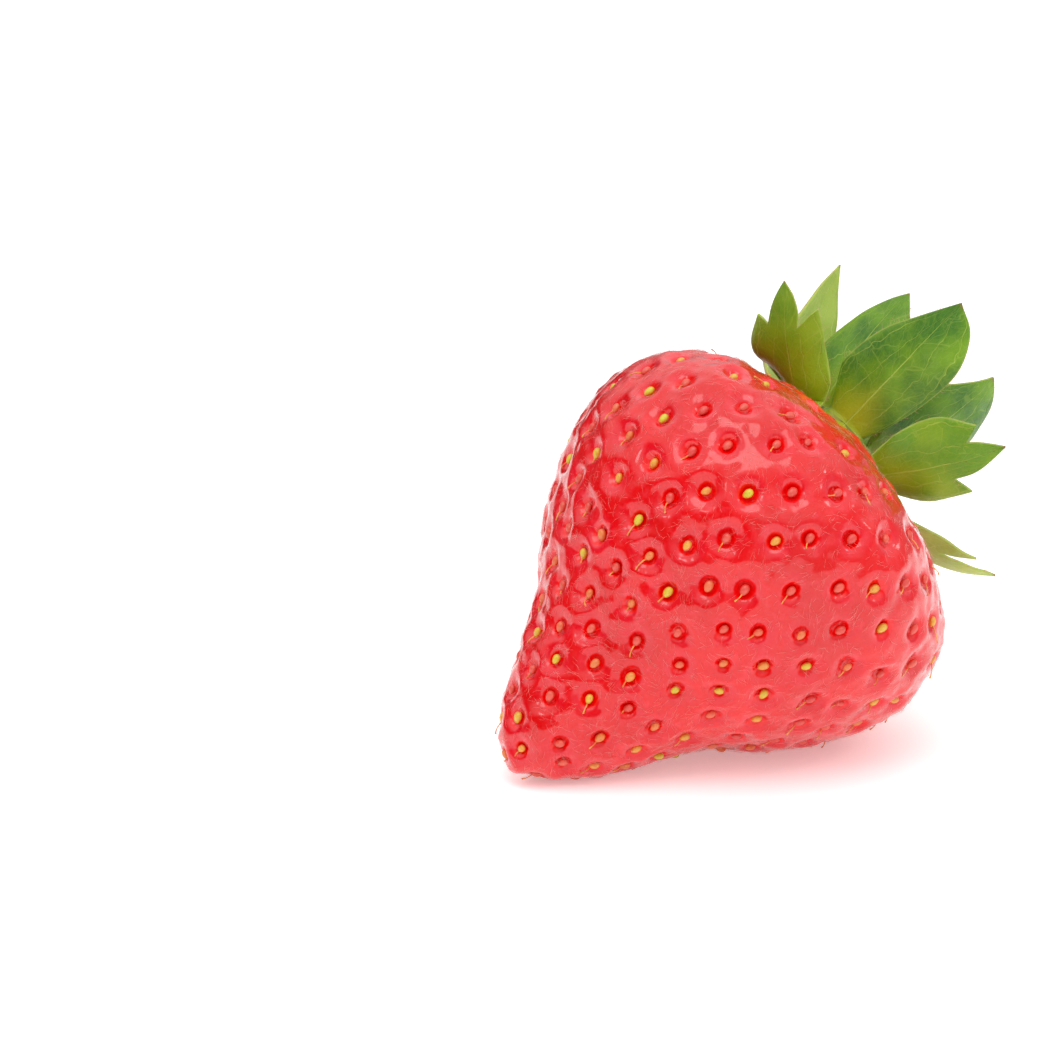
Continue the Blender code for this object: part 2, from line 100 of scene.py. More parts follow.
# Calyx: a disc on the crown, a whorl of bracts round its rim, two of sepals on it, and the cut stalk.
CALYX_SHIFT = 0.9 * MM  # from the axis towards the top side
DISC_RADIUS = 6.2 * MM
DISC_THICKNESS = 0.8 * MM
DISC_THINNING = 0.45  # share of the thickness that the rim lacks
DISC_STEPS, DISC_SIDES = 5, 30
GAP = 0.3 * MM  # between pieces that touch
LEAF_THICKNESS = 0.45 * MM
LEAF_ROWS, LEAF_COLUMNS = 46, 11
ROOT_ROWS = 6  # of them, between a corner of the root and the foot of the midrib
ROW_SLOPE = 0.45  # how far a row climbs on its way out, in the shares that the outlines use
MARGIN_STEPS = 60
MIDRIB_STEPS = 12
OUTER_SEPAL_RING, INNER_SEPAL_RING = 0.92, 0.7  # shares of the disc's radius
ROLL_RAMP = 0.4  # share of a leaf's length over which its roll sets in
STALK_RADIUS = 1.15 * MM
STALK_LENGTH = 7.0 * MM
STALK_BEND = 1.1 * MM
STALK_FLARE = 1.5  # widening at the disc

# Half outlines of the leaves: runs of smooth curve that meet in corners, each point the share of the
# half width and the share of the length.
OVATE = (((0.42, 0.0), (0.74, 0.15), (1.0, 0.42), (0.78, 0.7), (0.34, 0.89), (0.0, 1.0)),)
STRAIGHT_TIP = (((0.5, 0.0), (0.86, 0.1), (1.0, 0.3), (0.85, 0.55), (0.45, 0.78), (0.0, 1.0)),)
SLENDER = (((0.42, 0.0), (0.8, 0.12), (0.92, 0.34), (0.66, 0.6), (0.32, 0.81), (0.0, 1.0)),)
BROAD_TIP = (((0.5, 0.0), (0.72, 0.16), (0.94, 0.42), (1.0, 0.66), (0.66, 0.88), (0.0, 1.0)),)
TOOTHED = (
    ((0.42, 0.0), (0.76, 0.17), (1.0, 0.45), (0.84, 0.68), (0.58, 0.82)),
    ((0.58, 0.82), (0.44, 0.82), (0.2, 0.92), (0.0, 1.0)),
)
BROAD_LOBES = (
    ((0.6, 0.0), (0.96, 0.2), (1.0, 0.42), (0.76, 0.69)),
    ((0.76, 0.69), (0.62, 0.67), (0.46, 0.63)),
    ((0.46, 0.63), (0.36, 0.76), (0.18, 0.89), (0.0, 1.0)),
)
LONG_LOBE = (
    ((0.6, 0.0), (0.94, 0.2), (1.0, 0.5), (0.66, 0.84)),
    ((0.66, 0.84), (0.5, 0.77), (0.36, 0.7)),
    ((0.36, 0.7), (0.3, 0.8), (0.16, 0.9), (0.0, 1.0)),
)
DEEP_LOBES = (
    ((0.8, 0.0), (1.0, 0.13), (0.86, 0.45), (0.78, 0.78)),
    ((0.78, 0.78), (0.5, 0.7), (0.27, 0.61)),
    ((0.27, 0.61), (0.3, 0.74), (0.2, 0.88), (0.0, 1.0)),
)
LOW_LOBES = (
    ((0.8, 0.0), (0.94, 0.14), (0.96, 0.38), (0.84, 0.66)),
    ((0.84, 0.66), (0.62, 0.61), (0.42, 0.56)),
    ((0.42, 0.56), (0.38, 0.7), (0.2, 0.87), (0.0, 1.0)),
)
FORKED = (
    ((0.45, 0.0), (0.66, 0.2), (0.84, 0.45), (0.98, 0.74)),
    ((0.98, 0.74), (0.6, 0.65), (0.32, 0.55)),
    ((0.32, 0.55), (0.36, 0.7), (0.24, 0.88), (0.0, 1.0)),
)

# ring: 0 the bracts, outside the disc's rim, 1 the outer sepals and 2 the inner ones, on the disc.
# around: place round the axis, in degrees. length and width: in radii of the disc. rise: slope at the
# root, and curl: how far the slope has turned at the tip, both in degrees from straight outwards
# towards the stalk. cup: degrees that each half turns up across its width. roll: turn about its
# midrib, to face the next leaf round. Left and right are as seen from outside with the stalk up.
Leaf = namedtuple("Leaf", "name ring around length width left right rise curl cup roll")
LEAVES = (
    Leaf("bract_left", 0, 6, 2.02, 1.38, BROAD_LOBES, DEEP_LOBES, 16, 20, 14, 30),
    Leaf("bract_right", 0, 115, 2.08, 1.58, LONG_LOBE, LOW_LOBES, 40, 18, 11, -25),
    Leaf("bract_low", 0, 173, 3.03, 1.13, FORKED, LOW_LOBES, -8, 48, 7, -20),
    Leaf("bract_rear", 0, 238, 2.02, 1.29, LOW_LOBES, FORKED, 18, 16, 14, 0),
    Leaf("bract_top", 0, 293, 1.98, 1.29, BROAD_LOBES, DEEP_LOBES, 24, 20, 11, 0),
    Leaf("sepal_front", 1, 57, 2.7, 1.48, STRAIGHT_TIP, BROAD_TIP, 48, 24, 12, 0),
    Leaf("sepal_low", 1, 191, 2.2, 1.12, SLENDER, OVATE, 55, 16, 12, 0),
    Leaf("sepal_top", 1, 303, 2.77, 1.15, STRAIGHT_TIP, SLENDER, 56, 16, 12, -35),
    Leaf("sepal_left", 2, 18, 2.35, 1.9, STRAIGHT_TIP, TOOTHED, 64, 30, 21, 0),
    Leaf("sepal_right", 2, 126, 2.45, 1.95, SLENDER, BROAD_TIP, 63, 28, 15, -22),
    Leaf("sepal_rear", 2, 234, 2.42, 1.55, OVATE, OVATE, 66, 24, 15, 0),
)

# Fine skin.
FINE_GRID = 128  # quads along an edge of the cube that the skin's mesh is blown up from
FINE_RINGS = 1500
PILLOW_RADIUS, PILLOW_DEPTH = 2.0 * MM, 0.62 * MM  # shallow dimple round each achene
HOLE_LENGTH, HOLE_WIDTH, HOLE_DEPTH = 0.88 * MM, 0.78 * MM, 0.32 * MM  # the steep hole within it
HOLE_WALL = (0.72, 1.12)  # where the wall runs, as a share of the hole
LIP_PLACE, LIP_BREADTH, LIP_HEIGHT = 1.4, 0.24, 0.07 * MM
# The skin's unevenness: swells per metre, and their height.
LUMPS = ((95.0, 0.4 * MM), (300.0, 0.3 * MM), (800.0, 0.12 * MM))
NECK_WIDTH = 3.4 * MM  # bare skin round the disc
NECK_RIDGE, NECK_RIDGE_BREADTH, NECK_GROOVE = 0.5 * MM, 0.9 * MM, 0.1 * MM

# Achenes, with the dry thread of the flower's style on some.
SEED_HALF = Vector((0.55, 0.4, 0.34)) * MM  # half length, width and height
SEED_SUNK = 0.44 * MM
SEED_RINGS, SEED_SIDES = 9, 14
SEED_TILT = 0.16
THREAD_CHANCE = 0.5
THREAD_RADIUS = 0.06 * MM

# Hairs.
HAIR_COUNT = 10000
HAIR_SEED = 47
HAIR_LENGTH = (0.4 * MM, 1.15 * MM)
HAIR_RADIUS = 0.01 * MM
LEAF_HAIRS = 60  # along each leaf's margin
STAMEN_COUNT = 16

# Leaves.
FINE_THICKNESS = 0.26 * MM
ROOT_APRON = (0.9 * MM, 1.7 * MM)  # how far out and down a root reaches to cover the disc
FOLD_DEPTH, FOLD_WIDTH = 0.14 * MM, 0.5 * MM  # along the midrib
WAVE_HEIGHT, SWELL_HEIGHT = 0.32 * MM, 0.16 * MM  # at the margin, and between the veins
PATCHES_APART = 50  # keeps one leaf's patches and veins from repeating on the next
PALE_LEAVES = ("sepal_top", "bract_low", "bract_top")

# Leaf colours: dark and bright patches, root, veins.
LEAF_COLOURS = {
    "sepal": ((58, 112, 20), (112, 156, 10), (164, 178, 30), (176, 202, 84)),
    "sepal_pale": ((146, 172, 56), (172, 194, 84), (180, 194, 80), (200, 216, 120)),
    "bract": ((96, 146, 4), (134, 168, 14), (150, 172, 10), (180, 200, 76)),
}

# Disc and stalk.
DISC_OVER, DISC_UNDER = 0.45 * MM, 0.35 * MM  # thicker than in the CAD, so that the leaves meet it
STALK_SUNK = 0.6 * MM
STALK_HOLLOW = ((0.8, 0.06), (0.45, 0.22), (0.15, 0.3))  # share of the radius, depth in mm

# Studio.
CAMERA_AZIMUTH, CAMERA_ELEVATION = math.radians(-31.0), math.radians(16.0)
CAMERA_DISTANCE = 0.3
LENS, SENSOR = 102.5641, 36.0  # millimetres
AIM = Vector((-5.1, 0.03, 16.91)) * MM
AIM_OFFSET = (0.0599, -0.02)  # where the aim shows: slopes right and up of the camera's own line
# The tent's strength at eye level and overhead, and the heights between which it climbs.
TENT_SIDES, TENT_TOP = 0.42, 1.2
TENT_RISE = (0.1, 0.75)
# Its dark band: azimuth, height, how far off that height and how far round it fades out, and the
# share of light left in it. Heights and fades are parts of a unit vector.
BAND_AZIMUTH = math.radians(-120.0)
BAND_HEIGHT = 0.06
BAND_EDGE = (0.16, 0.46)
BAND_SIDE = (-0.02, 0.4)
BAND_LIGHT = 0.04
# Softboxes: name, azimuth and elevation in degrees, distance, size, power.
SOFTBOXES = (
    ("key", -40.0, 66.0, 0.6, 0.34, 0.95),
    ("glint_right", 48.0, 38.0, 0.6, 0.09, 0.16),
    ("glint_left", -70.0, 36.0, 0.6, 0.07, 0.1),
)


def smooth_curve(points, steps):
    """Points of a centripetal Catmull-Rom curve through the given 2D points, ends included."""
    knots = [Vector(p) for p in points]
    knots.insert(0, knots[0] * 2 - knots[1])
    knots.append(knots[-1] * 2 - knots[-2])
    times = [0.0]
    for a, b in zip(knots, knots[1:]):
        times.append(times[-1] + math.sqrt((b - a).length))
    made = []
    for step in range(steps + 1):
        t = times[1] + (times[-2] - times[1]) * step / steps
        i = next(k for k in range(1, len(knots) - 2) if t <= times[k + 1] or k == len(knots) - 3)
        made.append(catmull_rom(knots[i - 1 : i + 3], times[i - 1 : i + 3], t))
    return made


def catmull_rom(p, k, t):
    """The point at time t of the piece of curve between the middle two of four knots p at times k."""
    a = [p[j].lerp(p[j + 1], (t - k[j]) / (k[j + 1] - k[j])) for j in range(3)]
    b = [a[j].lerp(a[j + 1], (t - k[j]) / (k[j + 2] - k[j])) for j in range(2)]
    return b[0].lerp(b[1], (t - k[1]) / (k[2] - k[1]))


def interpolate(curve, x):
    """The y of a curve of 2D points at this x, which runs upwards along it."""
    for a, b in zip(curve, curve[1:]):
        if x <= b[0]:
            return a[1] + (b[1] - a[1]) * (x - a[0]) / (b[0] - a[0])
    return curve[-1][1]


BENT_AXIS = smooth_curve(AXIS_BEND, 40)


def axis_offset(height):
    """How far the axis has bent towards the top side at this height."""
    return interpolate(BENT_AXIS, height / FRUIT_LENGTH) * MM


def around_axis(angle, radius, height):
    """The skin's point at this angle and height, its radius a share of the shoulder's."""
    x = radius * math.cos(angle) * SHOULDER_RADIUS_UP
    y = radius * math.sin(angle) * SHOULDER_RADIUS_SIDE
    return Vector((x + axis_offset(height), y, height))


def body_profile(rings):
    """(height, share of the shoulder radius) from tip to crown.

    A mirrored point beyond each end makes the curve cross the axis squarely.
    """
    (below, first), (above, last) = BODY_OUTLINE[1], BODY_OUTLINE[-2]
    outline = [(below, -first), *BODY_OUTLINE, (above, -last)]
    scaled = [(share * FRUIT_LENGTH, radius * SHOULDER_RADIUS_UP) for share, radius in outline]
    outside = [p for p in smooth_curve(scaled, rings) if p.y > 0]
    ends = Vector((0.0, 0.0)), Vector((FRUIT_LENGTH, 0.0))
    return [(p.x, p.y / SHOULDER_RADIUS_UP) for p in (ends[0], *outside, ends[1])]


class Skin:
    """The smooth surface of the fruit, without its pits, to place things on."""

    def __init__(self):
        self.profile = body_profile(SKIN_RINGS)
        points = []
        for height, radius in self.profile:
            for side in range(SKIN_SIDES):
                points.append(around_axis(2 * math.pi * side / SKIN_SIDES, radius, height))
        faces = []
        for ring in range(len(self.profile) - 1):
            for side in range(SKIN_SIDES):
                beside = (side + 1) % SKIN_SIDES
                low, high = ring * SKIN_SIDES, (ring + 1) * SKIN_SIDES
                faces.append((low + side, high + side, high + beside, low + beside))
        self.tree = BVHTree.FromPolygons(points, faces)
        self.centre = Vector((0.0, 0.0, MIDDLE * FRUIT_LENGTH))

    def nearest(self, point):
        """The point of the skin nearest to this one, and the way out there."""
        place, normal, _, _ = self.tree.find_nearest(point)
        return place, normal if normal.dot(place - self.centre) > 0 else -normal

    def below(self, point):
        """The point of the crown straight below this one, and the way out there."""
        start = Vector((point.x, point.y, 2 * FRUIT_LENGTH))
        place, normal, _, _ = self.tree.ray_cast(start, Vector((0.0, 0.0, -1.0)))
        return place, normal if normal.z > 0 else -normal

    def height_at_radius(self, radius):
        """Height of the crown where its share of the shoulder radius has come down to this one."""
        widest = max(range(len(self.profile)), key=lambda k: self.profile[k][1])
        return next(h for h, r in self.profile[widest:] if r <= radius)

    def lean(self):
        """Angle of the axis above the ground with the tip and the shoulder both touching it."""
        lower_side = [around_axis(math.pi, r, h) for h, r in self.profile]
        tip = [p for p in lower_side if p.z < TIP_END * FRUIT_LENGTH]
        shoulder = [p for p in lower_side if p.z > SHOULDER_START * FRUIT_LENGTH]
        low, high = 0.0, math.pi / 2
        while high - low > 1e-9:
            lean = (low + high) / 2
            up = upwards(lean)
            if min(p.dot(up) for p in tip) < min(p.dot(up) for p in shoulder):
                high = lean
            else:
                low = lean
        return lean


def upwards(lean):
    """The ground's normal in the frame of a fruit whose axis is this far above the ground."""
    return Vector((math.cos(lean), 0.0, math.sin(lean)))


def spread_on_skin(skin, count, low, high, wander):
    """(place, way out) of points on a golden-angle spiral that climbs from height low to height high.

    They are spread evenly by area, but for the crowding at the tip and for how far they may wander.
    """
    chance = random.Random(ACHENE_SEED)
    bands = []
    for (h0, r0), (h1, r1) in zip(skin.profile, skin.profile[1:]):
        if low <= h0 and h1 <= high:
            slant = math.hypot(h1 - h0, (r1 - r0) * SHOULDER_RADIUS_UP)
            crowd = 1 + TIP_CROWDING * (1 - h0 / FRUIT_LENGTH)
            bands.append((h0, h1, r0, r1, slant * (r0 + r1) * crowd))
    total = sum(band[-1] for band in bands)
    sites, band, passed = [], 0, 0.0
    for i in range(count):
        wanted = total * (i + 0.5) / count
        while band < len(bands) - 1 and passed + bands[band][-1] < wanted:
            passed += bands[band][-1]
            band += 1
        h0, h1, r0, r1, area = bands[band]
        share = (wanted - passed) / area
        point = around_axis(i * GOLDEN_ANGLE, r0 + (r1 - r0) * share, h0 + (h1 - h0) * share)
        off = Vector([chance.uniform(-wander, wander) for _ in range(3)])
        sites.append(skin.nearest(point + off))
    return sites


def disc_point(skin, angle, share, is_top):
    """A point of the disc, from its middle (share 0) to its rim (share 1)."""
    radius = share * DISC_RADIUS
    over = Vector((CALYX_SHIFT + axis_offset(FRUIT_LENGTH), 0.0, FRUIT_LENGTH))
    over += Vector((math.cos(angle), math.sin(angle), 0.0)) * radius
    place, normal = skin.below(over)
    thickness = DISC_THICKNESS * (1 - DISC_THINNING * share**4)
    return place + normal * (GAP + thickness if is_top else GAP)


def half_outline(runs):
    """A leaf's margin on one side: the level of each of its points, the points, and its corners' levels.

    A row of points climbs from the midrib to the margin, and its level is the share of the length
    where it leaves the midrib. Rows with a level under 0 leave the edge of the root instead.
    """
    points, levels = [], []
    for run in runs:
        points += smooth_curve(run, MARGIN_STEPS)[1 if points else 0 :]
    for point in points:
        level = point.y - ROW_SLOPE * point.x
        levels.append(max([level] + levels[-1:]))
    corners = [levels[(k + 1) * MARGIN_STEPS] for k in range(len(runs) - 1)]
    return levels, points, corners


def leaf_row(half, level):
    """A row's points from the midrib, or from the root's edge, out to the margin."""
    levels, points, _ = half
    start = Vector((0.0, level)) if level >= 0 else Vector((-level / ROW_SLOPE, 0.0))
    k = next(k for k in range(1, len(levels)) if level <= levels[k] or k == len(levels) - 1)
    part = (level - levels[k - 1]) / max(levels[k] - levels[k - 1], 1e-9)
    end = points[k - 1].lerp(points[k], min(1.0, part))
    return [start.lerp(end, step / LEAF_COLUMNS) for step in range(LEAF_COLUMNS + 1)]


def full_rows(left, right):
    """Levels of the rows across the whole leaf: even ones, and one at every corner of the margin."""
    least = 0.5 / LEAF_ROWS
    corners = []
    for corner in sorted(left[2] + right[2]):
        if not corners or corner - corners[-1] > least / 4:
            corners.append(corner)
    even = [k / LEAF_ROWS for k in range(LEAF_ROWS)]
    return sorted(corners + [s for s in even if s == 0 or all(abs(s - c) > least for c in corners)])


def leaf_size(leaf):
    """Half the leaf's width, and its length."""
    return leaf.width * DISC_RADIUS / 2, leaf.length * DISC_RADIUS


def bent(leaf, across, along):
    """Where a point of the flat leaf goes: x to the left, y outwards from the root, z to the stalk."""
    half_width, length = leaf_size(leaf)
    share = along / length
    rise, curl = math.radians(leaf.rise), math.radians(leaf.curl)
    y = z = 0.0
    for k in range(MIDRIB_STEPS):
        slope = rise + curl * share * (k + 0.5) / MIDRIB_STEPS
        y += math.cos(slope) * along / MIDRIB_STEPS
        z += math.sin(slope) * along / MIDRIB_STEPS
    ramp = min(1.0, share / ROLL_RAMP)
    turn = math.radians(leaf.roll) * ramp * ramp * (3 - 2 * ramp)
    turn += math.radians(leaf.cup) * across / half_width
    slope = rise + curl * share
    normal = Vector((0.0, -math.sin(slope), math.cos(slope)))
    return Vector((-across * math.cos(turn), y, z)) + normal * across * math.sin(turn)


def join_rows(bm, a, b):
    """Faces between two rows of vertices; a row of one vertex is a corner of the leaf."""
    for k in range(max(len(a), len(b)) - 1):
        corners = [a[min(k, len(a) - 1)], a[min(k + 1, len(a) - 1)]]
        corners += [b[min(k + 1, len(b) - 1)], b[min(k, len(b) - 1)]]
        bm.faces.new(list(dict.fromkeys(corners)))


def beside(middle, angle, radius, lift):
    """The point at this angle and radius round a middle, and this far above it."""
    return middle + Vector((math.cos(angle) * radius, math.sin(angle) * radius, lift))


def leaf_root(skin, angle, ring):
    """Where a leaf starts: a gap outside the disc's rim, or a gap above the disc."""
    clear = GAP + LEAF_THICKNESS / 2
    if ring == 0:
        return beside(disc_point(skin, angle, 1.0, False), angle, clear, LEAF_THICKNESS / 2)
    share = OUTER_SEPAL_RING if ring == 1 else INNER_SEPAL_RING
    return disc_point(skin, angle, share, True) + Vector((0.0, 0.0, clear))


def leaf_place(skin, leaf, matrix):
    """The matrix from the leaf's own frame, with y outwards from its root, to the row frame."""
    angle = math.radians(leaf.around)
    place = matrix @ Matrix.Translation(leaf_root(skin, angle, leaf.ring))
    return place @ Matrix.Rotation(angle - math.pi / 2, 4, "Z")


def smoothstep(low, high, x):
    """0 under low, 1 over high, and smooth between."""
    t = np.clip((x - low) / (high - low), 0.0, 1.0)
    return t * t * (3 - 2 * t)


def fruit_to_row(skin):
    """The matrix from the fruit's frame to the row frame: turned by the lean, placed by the CAD disc."""
    turn = Euler((0.0, skin.lean() - math.pi / 2, math.pi)).to_matrix().to_4x4()
    points = []
    for side in range(DISC_SIDES):
        angle = 2 * math.pi * side / DISC_SIDES
        for step in range(DISC_STEPS + 1):
            for is_top in (True, False):
                points.append(turn @ disc_point(skin, angle, step / DISC_STEPS, is_top))
    low = Vector([min(p[k] for p in points) for k in range(3)])
    return Matrix.Translation(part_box("calyx_disc")[0] - low) @ turn


def sphere_grid(count):
    """Directions spread over a sphere, and the quads between them: a cube's grid blown up."""
    steps = np.arange(count + 1)
    u, v = (g.ravel() for g in np.meshgrid(steps, steps, indexing="ij"))
    zero, full = np.zeros_like(u), np.full_like(u, count)
    sides = [(v, u, zero), (u, v, full), (u, zero, v), (v, full, u), (zero, v, u), (full, u, v)]
    keys = np.array([(x * (count + 1) + y) * (count + 1) + z for x, y, z in sides])
    corners, index = np.unique(keys, return_inverse=True)
    index = index.reshape(6, count + 1, count + 1)
    around = [index[:, :-1, :-1], index[:, 1:, :-1], index[:, 1:, 1:], index[:, :-1, 1:]]
    quads = np.stack(around, -1).reshape(-1, 4)
    xyz = np.unravel_index(corners, (count + 1,) * 3)
    cube = np.tan((np.stack(xyz, -1) / count * 2 - 1) * math.pi / 4)
    return cube / np.linalg.norm(cube, axis=1, keepdims=True), quads


def vertex_normals(points, quads):
    """The normal at each vertex of a mesh of quads."""
    a, b, c, d = (points[quads[:, k]] for k in range(4))
    face = np.cross(c - a, d - b)
    normals = np.zeros_like(points)
    for k in range(4):
        np.add.at(normals, quads[:, k], face)
    return normals / np.linalg.norm(normals, axis=1, keepdims=True)


def smooth_skin_points(directions):
    """Where the smooth skin lies in these directions, evenly along each meridian for even angles."""
    profile = np.array(body_profile(FINE_RINGS))
    heights, radii = profile[:, 0], profile[:, 1]
    steps = np.hypot(np.diff(heights), np.diff(radii) * SHOULDER_RADIUS_UP)
    passed = np.concatenate([[0.0], np.cumsum(steps)]) / steps.sum()
    shares = np.arccos(np.clip(-directions[:, 2], -1.0, 1.0)) / math.pi
    angles = np.arctan2(directions[:, 1], directions[:, 0])
    height, radius = np.interp(shares, passed, heights), np.interp(shares, passed, radii)
    axis = np.array(BENT_AXIS)
    bend = np.interp(height / FRUIT_LENGTH, axis[:, 0], axis[:, 1]) * MM
    x = radius * np.cos(angles) * SHOULDER_RADIUS_UP + bend
    y = radius * np.sin(angles) * SHOULDER_RADIUS_SIDE
    return np.stack([x, y, height], -1)


class Sites:
    """The achenes' places on the skin, each with a frame: along (to the tip), across and out."""

    def __init__(self, skin):
        crown = skin.height_at_radius((DISC_RADIUS + BARE_CROWN) / SHOULDER_RADIUS_UP)
        found = spread_on_skin(skin, ACHENE_COUNT, 0.0, crown, ACHENE_WANDER)
        self.places = np.array([place for place, _ in found])
        self.out = np.array([normal for _, normal in found])
        down = np.array([0.0, 0.0, -1.0])
        along = down - self.out * (self.out @ down)[:, None]
        self.along = along / np.linalg.norm(along, axis=1, keepdims=True)
        self.across = np.cross(self.out, self.along)
        self.tree = KDTree(len(found))
        for index, (place, _) in enumerate(found):
            self.tree.insert(place, index)
        self.tree.balance()
        chance = np.random.default_rng(11)
        self.size = chance.uniform(0.9, 1.08, len(found))
        self.depth = chance.uniform(0.8, 1.15, len(found))

    def near(self, points):
        """For each point: its nearest site, how far that is, and the same as a share of the hole."""
        found = [self.tree.find(p) for p in points]
        index = np.array([f[1] for f in found])
        distance = np.array([f[2] for f in found])
        off = points - self.places[index]
        a = np.einsum("ij,ij->i", off, self.along[index]) / HOLE_LENGTH
        b = np.einsum("ij,ij->i", off, self.across[index]) / HOLE_WIDTH
        return index, distance, np.hypot(a, b) / self.size[index]


def neck_distance(points):
    """How far outside the disc's rim each point of the crown lies; large elsewhere on the fruit."""
    middle = CALYX_SHIFT + axis_offset(FRUIT_LENGTH)
    away = np.hypot(points[:, 0] - middle, points[:, 1]) - DISC_RADIUS
    return np.where(points[:, 2] > 0.8 * FRUIT_LENGTH, away, 1.0)


def unevenness(points):
    """Height of the skin's lumps at each point."""
    total = np.zeros(len(points))
    for scale, height in LUMPS:
        total += height * np.array([noise.noise(Vector(p) * scale) for p in points])
    return total


def to_row(points, matrix):
    """Points moved from the fruit's frame to the row frame, and kept above the ground."""
    m = np.array(matrix)
    moved = points @ m[:3, :3].T + m[:3, 3]
    moved[..., 2] = np.maximum(moved[..., 2], 0.0)
    return moved


def link_object(name, data):
    obj = bpy.data.objects.new(name, data)
    bpy.context.scene.collection.objects.link(obj)
    return obj


def rider(name, mesh, material):
    """A smooth object that rides on the part's only body."""
    mesh.shade_smooth()
    mesh.materials.append(material)
    obj = link_object(name, mesh)
    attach(obj, "root")
    return obj


def add_piece(name, points, faces, material, attributes=None):
    """A piece from its points and faces, with values at the points for its look."""
    mesh = bpy.data.meshes.new(name)
    mesh.from_pydata(np.asarray(points).tolist(), [], faces)
    for key, values in (attributes or {}).items():
        layer = mesh.attributes.new(key, "FLOAT", "POINT")
        layer.data.foreach_set("value", np.asarray(values, np.float32))
    return rider(name, mesh, material)


def mesh_from(bm, name):
    """The bmesh as a mesh. It uses the bmesh up."""
    mesh = bpy.data.meshes.new(name)
    bm.to_mesh(mesh)
    bm.free()
    return mesh


def finish_piece(bm, name, material):
    """A piece from a bmesh that is already in the row frame."""
    bmesh.ops.recalc_face_normals(bm, faces=bm.faces)
    return rider(name, mesh_from(bm, name), material)


def join_rings(bm, rings):
    """Faces from ring to ring of vertices; a ring of one vertex is a middle."""
    for a, b in zip(rings, rings[1:]):
        for k in range(max(len(a), len(b))):
            after = k + 1
            corners = a[k % len(a)], a[after % len(a)], b[after % len(b)], b[k % len(b)]
            bm.faces.new(list(dict.fromkeys(corners)))


def fine_skin(sites, matrix, material):
    """The skin with its dimples, holes, lumps and neck. Gives its points, normals and hole shares."""
    directions, quads = sphere_grid(FINE_GRID)
    points = smooth_skin_points(directions)
    normals = vertex_normals(points, quads)
    index, distance, share = sites.near(points)
    pillow = np.clip(1 - (distance / PILLOW_RADIUS) ** 2, 0.0, 1.0) ** 2
    hole = (1 - smoothstep(*HOLE_WALL, share)) * sites.depth[index]
    lip = np.exp(-(((share - LIP_PLACE) / LIP_BREADTH) ** 2))
    neck = neck_distance(points)
    ridge = np.exp(-(((neck - NECK_WIDTH) / NECK_RIDGE_BREADTH) ** 2))
    groove = 1 - smoothstep(0.0, NECK_WIDTH, neck)
    rise = LIP_HEIGHT * lip - PILLOW_DEPTH * pillow - HOLE_DEPTH * hole + unevenness(points)
    rise += NECK_RIDGE * ridge - NECK_GROOVE * groove
    points = points + normals * rise[:, None]
    normals = vertex_normals(points, quads)
    attributes = {
        "hole": share,
        "near": distance / MM,
        "neck": 1 - smoothstep(0.9 * NECK_WIDTH, 1.9 * NECK_WIDTH, neck),
    }
    obj = add_piece("skin", to_row(points, matrix), quads.tolist(), material, attributes)
    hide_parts("flesh")
    return points, normals, share


def tubes(paths, radii, sides):
    """Points and faces of closed tapering tubes round paths, an array of tube, point and x, y, z."""
    count, length, _ = paths.shape
    along = np.gradient(paths, axis=1)
    along /= np.linalg.norm(along, axis=2, keepdims=True)
    steep = np.abs(along[:, :1, 2:3]) > 0.8
    helper = np.where(steep, np.array([1.0, 0.0, 0.0]), np.array([0.0, 0.0, 1.0]))
    side = np.cross(along, np.broadcast_to(helper, along.shape))
    side /= np.linalg.norm(side, axis=2, keepdims=True)
    up = np.cross(side, along)
    turn = 2 * math.pi * np.arange(sides) / sides
    ring = side[:, :, None] * np.cos(turn)[:, None] + up[:, :, None] * np.sin(turn)[:, None]
    points = (paths[:, :, None] + ring * radii[:, :, None, None]).reshape(-1, 3)
    faces = []
    for tube in range(count):
        first = tube * length * sides
        faces.append([first + k for k in range(sides)])
        faces.append([first + (length - 1) * sides + k for k in reversed(range(sides))])
        for step in range(length - 1):
            low = first + step * sides
            for k in range(sides):
                beside = (k + 1) % sides
                faces.append([low + beside, low + k, low + sides + k, low + sides + beside])
    return points, faces


